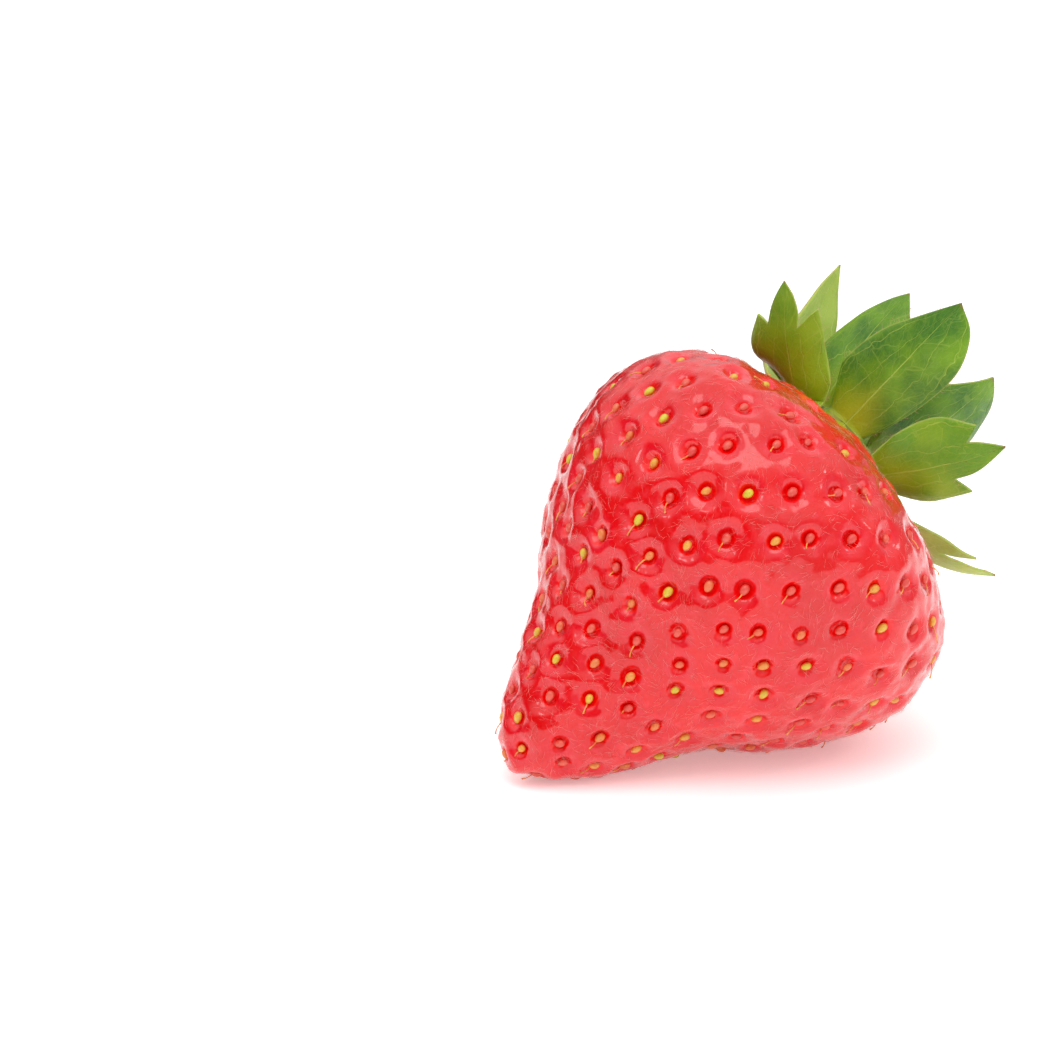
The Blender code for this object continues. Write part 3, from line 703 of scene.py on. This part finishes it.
def achenes(sites, matrix, material):
    """The achenes as egg-shaped seeds, each in its hole."""
    chance = np.random.default_rng(23)
    ring_angles = math.pi * np.arange(SEED_RINGS + 1) / SEED_RINGS
    turns = 2 * math.pi * np.arange(SEED_SIDES) / SEED_SIDES
    egg = []
    for polar in ring_angles:
        belly = math.sin(polar) * (1 + 0.14 * math.cos(polar))
        for turn in turns if 0 < polar < math.pi - 1e-6 else turns[:1]:
            egg.append((-math.cos(polar), belly * math.cos(turn), belly * math.sin(turn)))
    egg = np.array(egg) * np.array(SEED_HALF)
    last = len(egg) - 1
    pattern = []
    for k in range(SEED_SIDES):
        beside = (k + 1) % SEED_SIDES
        pattern.append([0, 1 + beside, 1 + k])
        pattern.append([last, last - SEED_SIDES + k, last - SEED_SIDES + beside])
        for ring in range(SEED_RINGS - 2):
            low = 1 + ring * SEED_SIDES
            pattern.append([low + k, low + beside, low + SEED_SIDES + beside, low + SEED_SIDES + k])
    points, faces, tones, ends = [], [], [], []
    for i in range(len(sites.places)):
        size = sites.size[i] * chance.uniform(0.94, 1.05)
        turn = chance.normal(0.0, 0.22)
        tilt = chance.normal(0.0, SEED_TILT)
        along = sites.along[i] * math.cos(turn) + sites.across[i] * math.sin(turn)
        across = np.cross(sites.out[i], along)
        along = along * math.cos(tilt) + sites.out[i] * math.sin(tilt)
        out = np.cross(along, across)
        middle = sites.places[i] - sites.out[i] * (SEED_SUNK + 0.1 * MM * chance.uniform(-1, 1))
        faces += [[corner + len(points) * len(egg) for corner in face] for face in pattern]
        points.append(middle + size * (egg @ np.array([along, across, out])))
        tones += [chance.random()] * len(egg)
        ends.append((middle, along, out))
    made = to_row(np.concatenate(points), matrix)
    add_piece("achenes", made, faces, material, {"tone": tones})
    return ends


def threads(ends, matrix, material):
    """The dry styles that still hang on some achenes, pointing to the fruit's tip."""
    chance = np.random.default_rng(31)
    paths = []
    for middle, along, out in ends:
        if chance.random() > THREAD_CHANCE:
            continue
        sideways = np.cross(out, along) * chance.normal(0.0, 0.35)
        reach = chance.uniform(0.7, 1.35) * MM
        lift = chance.uniform(0.25, 0.6) * MM
        start = middle + along * SEED_HALF[0] * 0.82 + out * SEED_HALF[2] * 0.3
        path = []
        for t in np.linspace(0.0, 1.0, 7):
            path.append(start + (along + sideways * t) * reach * t + out * lift * (1.8 * t - t * t))
        paths.append(path)
    shape = np.array([1.25, 1.0, 0.85, 0.8, 0.8, 1.1, 1.45])
    radii = np.tile(THREAD_RADIUS * shape, (len(paths), 1))
    points, faces = tubes(np.array(paths), radii, 6)
    add_piece("styles", to_row(points, matrix), faces, material)


def skin_hairs(points, normals, share, matrix, material):
    """Short pale hairs that lie over the skin between the holes."""
    chance = np.random.default_rng(HAIR_SEED)
    noise.seed_set(HAIR_SEED)  # noise_vector starts from a clock's seed otherwise
    free = np.flatnonzero((share > 1.3) & (neck_distance(points) > 0.5 * MM))
    roots = chance.choice(free, HAIR_COUNT, replace=False)
    place, out = points[roots], normals[roots]
    swirl = np.array([noise.noise_vector(Vector(p) * 260.0) for p in place])
    lean = 0.45 * chance.normal(size=place.shape) + 2.2 * swirl + np.array([0.0, 0.0, -0.5])
    lean -= out * np.einsum("ij,ij->i", lean, out)[:, None]
    lean /= np.linalg.norm(lean, axis=1, keepdims=True)
    length = chance.uniform(*HAIR_LENGTH, HAIR_COUNT)[:, None]
    stand = chance.uniform(0.15, 0.6, HAIR_COUNT)[:, None]
    bow = np.cross(out, lean) * chance.normal(0.0, 0.3, HAIR_COUNT)[:, None]
    steps = []
    for t in np.linspace(0.0, 1.0, 4):
        steps.append(place + length * (lean * t + out * stand * (t - 0.8 * t * t) + bow * t * t))
    paths = np.stack(steps, 1)
    radii = np.tile(HAIR_RADIUS * np.array([1.0, 0.9, 0.75, 0.4]), (HAIR_COUNT, 1))
    made, faces = tubes(paths, radii, 3)
    add_piece("skin_hairs", to_row(made, matrix), faces, material)


def disc_piece(skin, matrix, material):
    """The disc that the leaves grow from, with a wavy rim."""
    sides, steps = 72, 12
    levels = [(step, True) for step in range(steps + 1)]
    levels += [(step, False) for step in range(steps, -1, -1)]
    bm = bmesh.new()
    rings = []
    for step, is_top in levels:
        ring = []
        for side in range(sides if step else 1):
            angle = 2 * math.pi * side / sides
            wave = 1 + 0.02 * math.sin(11 * angle) + 0.015 * math.sin(17 * angle + 1)
            point = disc_point(skin, angle, step / steps * wave, is_top)
            point.z += DISC_OVER if is_top else -DISC_UNDER
            ring.append(bm.verts.new(matrix @ point))
        rings.append(ring)
    join_rings(bm, rings)
    obj = finish_piece(bm, "disc", material)
    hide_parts("calyx_disc")


def stalk_piece(skin, matrix, material):
    """The cut stub of the stalk: ribbed, flared at its foot, with a ragged hollow cut."""
    sides, steps = 40, 26
    angles = [2 * math.pi * side / sides for side in range(sides)]
    foot = disc_point(skin, 0.0, 0.0, True) + Vector((0.0, 0.0, GAP))
    rings = []
    for step in range(steps + 1):
        share = step / steps
        height = STALK_LENGTH * share - STALK_SUNK * (1 - share)
        flare = 1 + (STALK_FLARE - 1) * (1 - share) ** 3
        middle = foot + Vector((STALK_BEND * share * share, 0.0, height))
        ring = []
        for angle in angles:
            rough = noise.noise(Vector((3 * angle, 9 * share, 0)))
            rib = 1 + 0.035 * math.cos(9 * angle + 2 * share) + 0.02 * rough
            lift = 0.12 * MM * math.sin(2 * angle + 1) * share**8
            ring.append(beside(middle, angle, STALK_RADIUS * flare * rib, lift))
        rings.append(ring)
    top = foot + Vector((STALK_BEND, 0.0, STALK_LENGTH))
    for share, drop in STALK_HOLLOW:
        rings.append([beside(top, angle, STALK_RADIUS * share, -drop * MM) for angle in angles])
    bm = bmesh.new()
    rings = [[bm.verts.new(matrix @ point) for point in ring] for ring in rings]
    join_rings(bm, rings)
    bm.faces.new(rings[0])
    bm.faces.new(rings[-1])
    obj = finish_piece(bm, "stalk_stub", material)
    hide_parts("stalk")


def leaf_point(leaf, across, along, ripple):
    """Where a point of the leaf goes, folded at its midrib, swollen between veins, wavy at its edge."""
    half_width, length = leaf_size(leaf)
    point = bent(leaf, across, along)
    share = min(1.0, abs(across) / half_width)
    phase = ripple + 9 * along / length + (2 if across > 0 else 0)
    fold = -FOLD_DEPTH * math.exp(-((across / FOLD_WIDTH) ** 2)) * (1 - along / length)
    wave = WAVE_HEIGHT * share * share * math.sin(phase)
    swell = SWELL_HEIGHT * noise.noise(Vector((across * 420 + ripple, along * 300, ripple)))
    slope = math.radians(leaf.rise + leaf.curl * along / length)
    return point + Vector((0.0, -math.sin(slope), math.cos(slope))) * (fold + wave + swell)


def leaf_piece(skin, leaf, matrix, material, ripple):
    """One leaf as a fine bent sheet with thickness, its root reaching down over the disc."""
    bm = bmesh.new()
    size = Vector(leaf_size(leaf))
    keys = {key: bm.verts.layers.float.new(key) for key in ("across", "along", "side_mm", "up_mm")}
    place = leaf_place(skin, leaf, matrix)

    def vertices(side, row, apron=0.0):
        over = Vector((0.0, ROOT_APRON[0] * apron, -ROOT_APRON[1] * apron))
        reach = max([1e-6] + [p.x for p in row])
        made = []
        for p in row:
            x, y = side * p.x * size.x, p.y * size.y
            vertex = bm.verts.new(place @ (leaf_point(leaf, x, y, ripple) + over))
            vertex[keys["across"]] = side * p.x / reach
            vertex[keys["along"]] = y / size.y
            vertex[keys["side_mm"]] = x / MM + PATCHES_APART * ripple
            vertex[keys["up_mm"]] = y / MM
            made.append(vertex)
        return made

    left, right = half_outline(leaf.left), half_outline(leaf.right)
    rows = []
    for level in full_rows(left, right):
        row = vertices(-1, leaf_row(left, level)[:0:-1])
        rows.append(row + vertices(1, leaf_row(right, level)))
    rows.append(vertices(1, [Vector((0.0, 1.0))]))
    for a, b in zip(rows, rows[1:]):
        join_rows(bm, a, b)
    edges = {-1: [], 1: []}
    first = rows[0]
    for side, half, above in ((-1, left, first[LEAF_COLUMNS::-1]), (1, right, first[LEAF_COLUMNS:])):
        for step in range(1, ROOT_ROWS + 1):
            row = leaf_row(half, half[0][0] * step / ROOT_ROWS)
            row = vertices(side, row if step < ROOT_ROWS else row[:1])
            join_rows(bm, above, row)
            above = row
            edges[side].append(row[0])
    root = edges[-1][::-1] + [first[LEAF_COLUMNS]] + edges[1]
    places = [v[keys["side_mm"]] - PATCHES_APART * ripple for v in root]
    flat = [Vector((at, 0.0)) * MM / size.x for at in places]
    for apron in (0.35, 0.7, 1.0):
        wider = [Vector((p.x * (1 + 0.3 * apron), 0.0)) for p in flat]
        row = vertices(1, wider, apron)
        join_rows(bm, root, row)
        root = row
    obj = finish_piece(bm, leaf.name + "_leaf", material)
    sheet = obj.modifiers.new("thickness", "SOLIDIFY")
    sheet.thickness = FINE_THICKNESS
    sheet.offset = 0.0
    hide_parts(leaf.name)


def margin_hairs(skin, matrix, material):
    """Fine pale hairs along the leaves' margins."""
    chance = np.random.default_rng(59)
    paths = []
    for number, leaf in enumerate(LEAVES):
        size = Vector(leaf_size(leaf))
        ripple = ripple_of(number)
        place = leaf_place(skin, leaf, matrix)
        for side, runs in ((-1, leaf.left), (1, leaf.right)):
            _, margin, _ = half_outline(runs)
            for _ in range(LEAF_HAIRS):
                k = int(chance.integers(1, len(margin) - 2))
                p, q = margin[k], margin[k + 1]
                at = leaf_point(leaf, side * p.x * size.x, p.y * size.y, ripple)
                ahead = leaf_point(leaf, side * q.x * size.x, q.y * size.y, ripple)
                inner = leaf_point(leaf, side * p.x * size.x * 0.9, p.y * size.y, ripple)
                away = (at - inner).normalized() + (ahead - at).normalized() * 0.6
                away += Vector(chance.normal(0.0, 0.35, 3))
                away = away.normalized() * float(chance.uniform(0.25, 0.6)) * MM
                sag = Vector(chance.normal(0.0, 0.12, 3)) * MM
                hair = [at + away * t + sag * t * t for t in (0.0, 0.33, 0.67, 1.0)]
                paths.append([tuple(place @ point) for point in hair])
    radii = np.tile(HAIR_RADIUS * np.array([1.0, 0.85, 0.6, 0.3]), (len(paths), 1))
    points, faces = tubes(np.array(paths), radii, 3)
    add_piece("leaf_hairs", points, faces, material)


def ripple_of(number):
    """A leaf's own phase for its waves and colours."""
    return 1.7 * number + 0.4


def stamens(skin, matrix, material):
    """Dry brown stamens left between the leaves and the neck."""
    chance = random.Random(61)
    paths, radii = [], []
    for k in range(STAMEN_COUNT):
        angle = 2 * math.pi * (k + chance.uniform(-0.3, 0.3)) / STAMEN_COUNT
        start = disc_point(skin, angle, 0.97, False)
        out = Vector((math.cos(angle), math.sin(angle), 0.0))
        swerve = Vector((-out.y, out.x, 0.0)) * chance.uniform(-0.9, 0.9)
        reach = chance.uniform(0.9, 2.0) * MM
        path = []
        for step in range(7):
            t = step / 6
            point = start + (out + swerve * t) * reach * t
            on_skin, normal = skin.nearest(point)
            path.append(tuple(on_skin + normal * (0.12 + 0.35 * t * (1.3 - t)) * MM))
        paths.append(path)
        knob = chance.choice((1.2, 2.6, 3.4))
        radii.append([0.07 * MM * w for w in (1.0, 0.9, 0.8, 0.8, knob, knob, 0.6)])
    points, faces = tubes(np.array(paths), np.array(radii), 7)
    add_piece("stamens", to_row(points, matrix), faces, material)


class Nodes:
    """Short ways to add nodes to a node tree."""

    def __init__(self, tree):
        self.nodes, self.links = tree.nodes, tree.links

    def add(self, kind, inputs=None, **settings):
        """A node with these settings; each input is a value or another node's output."""
        node = self.nodes.new("ShaderNode" + kind)
        for key, value in settings.items():
            setattr(node, key, value)
        for key, value in (inputs or {}).items():
            if isinstance(value, bpy.types.NodeSocket):
                self.links.new(value, node.inputs[key])
            else:
                node.inputs[key].default_value = value
        return node

    def math(self, operation, a, b=0.0):
        return self.add("Math", {0: a, 1: b}, operation=operation).outputs[0]

    def times(self, a, b):
        return self.math("MULTIPLY", a, b)

    def plus(self, a, b):
        return self.math("ADD", a, b)

    def dot(self, a, b):
        return self.add("VectorMath", {0: a, 1: b}, operation="DOT_PRODUCT").outputs["Value"]

    def remap(self, value, low, high, to_low=0.0, to_high=1.0):
        """value from low..high to to_low..to_high, smoothly and clamped."""
        inputs = {"Value": value, "From Min": low, "From Max": high}
        inputs |= {"To Min": to_low, "To Max": to_high}
        return self.add("MapRange", inputs, interpolation_type="SMOOTHSTEP").outputs["Result"]


class Look(Nodes):
    """A Principled material, with the shader's constants given by name."""

    def __init__(self, name, **constants):
        self.material = bpy.data.materials.new(name)
        self.material.use_nodes = True
        super().__init__(self.material.node_tree)
        self.shader = self.nodes["Principled BSDF"]
        for key, value in constants.items():
            self.shader.inputs[key.replace("_", " ")].default_value = value

    def attribute(self, name):
        return self.add("Attribute", attribute_name=name).outputs["Fac"]

    def position(self):
        return self.add("TexCoord").outputs["Object"]

    def noise(self, scale, detail=2.0, vector=None, roughness=0.5):
        inputs = {"Scale": scale, "Detail": detail, "Roughness": roughness}
        inputs["Vector"] = vector if vector else self.position()
        return self.add("TexNoise", inputs).outputs["Fac"]

    def mix(self, factor, a, b):
        return self.add("Mix", {0: factor, 6: a, 7: b}, data_type="RGBA").outputs[2]

    def ramp(self, value, *stops):
        node = self.add("ValToRGB", {0: value})
        elements = node.color_ramp.elements
        while len(elements) < len(stops):
            elements.new(0.5)
        for element, (at, colour) in zip(elements, stops):
            element.position = at
            element.color = colour
        return node.outputs["Color"]

    def bump(self, height, distance, strength=1.0, normal=None):
        inputs = {"Height": height, "Distance": distance, "Strength": strength}
        if normal:
            inputs["Normal"] = normal
        return self.add("Bump", inputs).outputs["Normal"]

    def set(self, key, output):
        self.links.new(output, self.shader.inputs[key])


def srgb(red, green, blue):
    """A colour from 0 to 255 as the linear one that shaders take."""
    made = []
    for value in (red / 255, green / 255, blue / 255):
        made.append(value / 12.92 if value <= 0.04045 else ((value + 0.055) / 1.055) ** 2.4)
    return (*made, 1.0)


def skin_look():
    """Moist red skin: pinker round the holes as painted sheen, a saturated red inside them painted
    brighter than the skin to lift their shade, orange on the neck.
    """
    gloss = dict(Roughness=0.34, IOR=1.45, Specular_IOR_Level=0.18, Coat_Weight=0.95, Coat_Roughness=0.1)
    depth = dict(Subsurface_Weight=0.2, Subsurface_Radius=(1.0, 0.12, 0.08), Subsurface_Scale=1.6 * MM)
    look = Look("skin", **gloss, **depth)
    hole, near, neck = (look.attribute(key) for key in ("hole", "near", "neck"))
    patches = look.remap(look.noise(120.0, 3.0), 0.35, 0.65)
    fine = look.noise(1100.0, 5.0, roughness=0.65)
    red = look.mix(patches, srgb(212, 2, 4), srgb(226, 5, 12))
    # Painted sheen: a pinker, purplish ring of colour round each pit, standing in for the dimple's
    # reflection.
    ring = look.remap(near, 2.5, 1.1)
    ring = look.times(ring, look.remap(look.noise(260.0), 0.3, 0.7, 0.2, 1.0))
    red = look.mix(ring, red, srgb(224, 16, 38))
    red = look.mix(look.remap(fine, 0.5, 0.72, 0.0, 0.28), red, srgb(240, 74, 90))
    mottle = look.remap(look.noise(700.0, 3.0), 0.45, 0.7)
    orange = look.mix(mottle, srgb(252, 34, 3), srgb(255, 122, 40))
    red = look.mix(look.times(neck, 0.9), red, orange)
    # Painted light: the holes get a brighter red than the skin round them, to lift the shade that falls
    # in them.
    red = look.mix(look.remap(hole, 1.35, 1.0), red, srgb(244, 2, 4))
    red = look.mix(look.remap(hole, 0.95, 0.6), red, srgb(250, 3, 5))
    look.set("Base Color", red)
    look.set("Roughness", look.remap(look.noise(500.0, 3.0), 0.3, 0.7, 0.24, 0.42))
    wall = look.bump(look.remap(hole, 0.78, 1.1), 0.1 * MM, 0.4)
    grain = look.plus(look.times(fine, 0.9), look.times(look.noise(3000.0, 2.0), 0.5))
    waves = {"Vector": look.position(), "Scale": 180.0, "Distortion": 9.0, "Detail": 2.0}
    ripples = look.add("TexWave", waves).outputs["Fac"]
    grain = look.plus(grain, look.times(ripples, 0.35))
    look.set("Normal", look.bump(grain, 0.085 * MM, 0.9, wall))
    return look.material


def seed_look():
    """Achenes from salmon red through tan to yellow-green, a little glossy, with a fine grain."""
    gloss = dict(Roughness=0.38, Coat_Weight=0.2, Coat_Roughness=0.3)
    depth = dict(Subsurface_Weight=0.15, Subsurface_Radius=(1.0, 0.5, 0.2), Subsurface_Scale=0.4 * MM)
    look = Look("achene", **gloss, **depth)
    colour = look.ramp(
        look.attribute("tone"),
        (0.0, srgb(216, 62, 58)),
        (0.5, srgb(224, 92, 72)),
        (0.66, srgb(224, 128, 62)),
        (0.78, srgb(224, 170, 60)),
        (1.0, srgb(206, 196, 44)),
    )
    grain = look.noise(3500.0, 2.0)
    colour = look.mix(look.remap(grain, 0.45, 0.75, 0.0, 0.4), colour, srgb(190, 95, 45))
    look.set("Base Color", colour)
    look.set("Normal", look.bump(grain, 0.02 * MM, 0.6))
    return look.material


def fibre_look(name, first, second, roughness, subsurface):
    """Hairs, threads and stamens: two colours mixed along them."""
    look = Look(name, Roughness=roughness, Subsurface_Weight=subsurface, Subsurface_Scale=0.3 * MM)
    look.set("Base Color", look.mix(look.remap(look.noise(1500.0), 0.35, 0.65), first, second))
    return look.material


def leaf_look(name, dark, bright, root, vein):
    """A leaf: patchy green, yellow at its root, with a net of pale veins and a browned tip."""
    gloss = dict(Roughness=0.46, Specular_IOR_Level=0.35, Coat_Weight=0.05, Coat_Roughness=0.3)
    depth = dict(Subsurface_Weight=0.2, Subsurface_Radius=(0.5, 1.0, 0.1), Subsurface_Scale=0.4 * MM)
    look = Look(name, **gloss, **depth)
    across, along = look.attribute("across"), look.attribute("along")
    side, up = look.attribute("side_mm"), look.attribute("up_mm")
    plain = look.add("CombineXYZ", {0: side, 1: up}).outputs[0]
    wobble = look.math("SUBTRACT", look.noise(0.4, 2.0, plain), 0.5)
    wide = look.math("ABSOLUTE", across)
    bent_across = look.math("ABSOLUTE", look.plus(across, look.times(wobble, 0.06)))
    midrib = look.remap(bent_across, 0.028, 0.006)
    lane = look.plus(look.times(wide, 2.3), look.times(wobble, 0.9))
    lanes = look.remap(look.math("PINGPONG", lane, 0.5), 0.032, 0.006)
    lanes = look.times(lanes, look.remap(wide, 0.12, 0.25))
    shear = look.math("SUBTRACT", up, look.times(wide, 2.4))
    swerve = look.plus(side, look.times(wobble, 2.6))
    warped = look.add("CombineXYZ", {0: swerve, 1: look.times(shear, 0.55)}).outputs[0]
    cells = look.add("TexVoronoi", {"Vector": warped, "Scale": 0.6}, feature="DISTANCE_TO_EDGE")
    net = look.remap(cells.outputs["Distance"], 0.022, 0.003)
    small = look.add("TexVoronoi", {"Vector": warped, "Scale": 2.2}, feature="DISTANCE_TO_EDGE")
    mesh = look.remap(small.outputs["Distance"], 0.1, 0.0)
    colour = look.mix(look.remap(look.noise(0.15, 2.0, plain), 0.38, 0.62), dark, bright)
    colour = look.mix(look.remap(look.noise(2.2, 3.0, plain), 0.4, 0.8, 0.0, 0.3), colour, bright)
    rooted = look.plus(along, look.times(wide, 0.3))
    colour = look.mix(look.remap(rooted, 0.44, 0.05, 0.0, 0.95), colour, root)
    veins = look.math("MAXIMUM", look.times(lanes, 0.5), look.times(net, 0.24))
    for part, strength in ((midrib, 0.75), (mesh, 0.1)):
        veins = look.math("MAXIMUM", veins, look.times(part, strength))
    colour = look.mix(veins, colour, vein)
    edge = look.remap(wide, 0.965, 1.0, 0.0, 0.5)
    colour = look.mix(edge, colour, srgb(190, 190, 100))
    ends = look.plus(along, look.times(look.noise(1.2, 2.0, plain), 0.05))
    colour = look.mix(look.remap(ends, 0.99, 1.025, 0.0, 0.8), colour, srgb(150, 105, 62))
    specks = look.add("TexVoronoi", {"Vector": plain, "Scale": 0.45}).outputs["Distance"]
    colour = look.mix(look.remap(specks, 0.045, 0.03, 0.0, 0.6), colour, srgb(96, 62, 30))
    look.set("Base Color", colour)
    look.set("Roughness", look.remap(look.noise(1.3, 3.0, plain), 0.3, 0.7, 0.36, 0.58))
    relief = look.math("SUBTRACT", look.times(look.noise(3.0, 3.0, plain), 0.6), veins)
    look.set("Normal", look.bump(relief, 0.09 * MM, 0.8))
    return look.material


def stem_look():
    """Disc and stalk: yellow-green with darker and brown streaks."""
    depth = dict(Subsurface_Weight=0.2, Subsurface_Radius=(0.6, 1.0, 0.2), Subsurface_Scale=0.6 * MM)
    look = Look("stem", Roughness=0.55, **depth)
    streaks = look.noise(420.0, 4.0)
    colour = look.mix(look.remap(streaks, 0.35, 0.65), srgb(108, 122, 40), srgb(160, 160, 70))
    colour = look.mix(look.remap(look.noise(1300.0, 3.0), 0.6, 0.75, 0.0, 0.8), colour, srgb(92, 58, 28))
    look.set("Base Color", colour)
    look.set("Normal", look.bump(look.noise(1800.0, 3.0), 0.05 * MM, 0.7))
    return look.material


def towards(azimuth, elevation):
    """The way from the object to something at this azimuth and elevation."""
    level = math.cos(elevation)
    return Vector((math.sin(azimuth) * level, -math.cos(azimuth) * level, math.sin(elevation)))


def camera():
    """A long lens, turned so that the fruit sits right of the middle."""
    data = bpy.data.cameras.new("camera")
    data.sensor_width = SENSOR
    data.lens = LENS
    data.clip_start, data.clip_end = 0.01, 20.0
    obj = link_object("camera", data)
    bpy.context.scene.camera = obj
    back = towards(CAMERA_AZIMUTH, CAMERA_ELEVATION)
    right = Vector((math.cos(CAMERA_AZIMUTH), math.sin(CAMERA_AZIMUTH), 0.0))
    up = back.cross(right)
    seen = Vector((*AIM_OFFSET, 1.0)).normalized()
    turn = seen.rotation_difference(Vector((0.0, 0.0, 1.0))).to_matrix()
    axes = Matrix((right, up, -back)).transposed() @ turn
    facing = Matrix((axes.col[0], axes.col[1], -axes.col[2])).transposed().to_4x4()
    obj.matrix_world = Matrix.Translation(AIM + back * CAMERA_DISTANCE) @ facing


def softbox(name, azimuth, elevation, distance, size, power):
    """A square area light that faces the object."""
    data = bpy.data.lights.new(name, "AREA")
    data.size = size
    data.energy = power
    obj = link_object(name, data)
    way = towards(math.radians(azimuth), math.radians(elevation))
    obj.location = way * distance
    obj.rotation_euler = way.to_track_quat("Z", "Y").to_euler()


def tent():
    """A white light tent, dark in a low band on the side of the fruit's tip. The camera sees it white."""
    world = bpy.data.worlds.new("tent")
    bpy.context.scene.world = world
    world.use_nodes = True
    tree = Nodes(world.node_tree)
    background = tree.nodes["Background"]
    background.inputs["Color"].default_value = (1.0, 1.0, 1.0, 1.0)
    way = tree.add("TexCoord").outputs["Generated"]
    side = tree.dot(way, towards(BAND_AZIMUTH, 0.0))
    height = tree.dot(way, Vector((0.0, 0.0, 1.0)))
    off = tree.math("ABSOLUTE", tree.math("SUBTRACT", height, BAND_HEIGHT))
    band = tree.remap(off, *BAND_EDGE, 1.0, 0.0)
    dark = tree.times(band, tree.remap(side, *BAND_SIDE, 0.0, 1.0 - BAND_LIGHT))
    left = tree.math("SUBTRACT", 1.0, dark)
    strength = tree.times(left, tree.remap(height, *TENT_RISE, TENT_SIDES, TENT_TOP))
    to_camera = tree.add("LightPath").outputs["Is Camera Ray"]
    seen = tree.add("Mix", {0: to_camera, 2: strength, 3: 1.0})
    tree.links.new(seen.outputs[0], background.inputs["Strength"])


def floor():
    """A plain white floor."""
    bm = bmesh.new()
    bmesh.ops.create_circle(bm, cap_ends=True, segments=96, radius=4.0)
    mesh = mesh_from(bm, "floor")
    glow = dict(Emission_Color=(1.0, 1.0, 1.0, 1.0), Emission_Strength=0.3)
    look = Look("floor", Roughness=0.6, Specular_IOR_Level=0.2, **glow)
    look.set("Base Color", look.mix(look.noise(3.0), srgb(250, 250, 250), srgb(253, 253, 253)))
    mesh.materials.append(look.material)
    obj = link_object("floor", mesh)


def build_fruit():
    """Every piece of the fruit, each with its look."""
    skin = Skin()
    matrix = fruit_to_row(skin)
    sites = Sites(skin)
    points, normals, share = fine_skin(sites, matrix, skin_look())
    ends = achenes(sites, matrix, seed_look())
    threads(ends, matrix, fibre_look("style", srgb(236, 176, 84), srgb(214, 132, 56), 0.5, 0.2))
    hair = fibre_look("hair", srgb(242, 124, 116), srgb(255, 182, 170), 0.35, 0.1)
    skin_hairs(points, normals, share, matrix, hair)
    stem = stem_look()
    disc_piece(skin, matrix, stem)
    stalk_piece(skin, matrix, stem)
    looks = {}
    for name, colours in LEAF_COLOURS.items():
        looks[name] = leaf_look(name, *(srgb(*colour) for colour in colours))
    for number, leaf in enumerate(LEAVES):
        slot = "bract" if leaf.name.startswith("bract") else "sepal"
        look = looks["sepal_pale" if leaf.name in PALE_LEAVES else slot]
        leaf_piece(skin, leaf, matrix, look, ripple_of(number))
    margin_hairs(skin, matrix, hair)
    stamens(skin, matrix, fibre_look("stamen", srgb(92, 58, 26), srgb(142, 96, 44), 0.6, 0.0))


def main():
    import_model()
    bpy.context.scene.view_settings.view_transform = "Standard"
    build_fruit()
    floor()
    camera()
    tent()
    for settings in SOFTBOXES:
        softbox(*settings)


main()
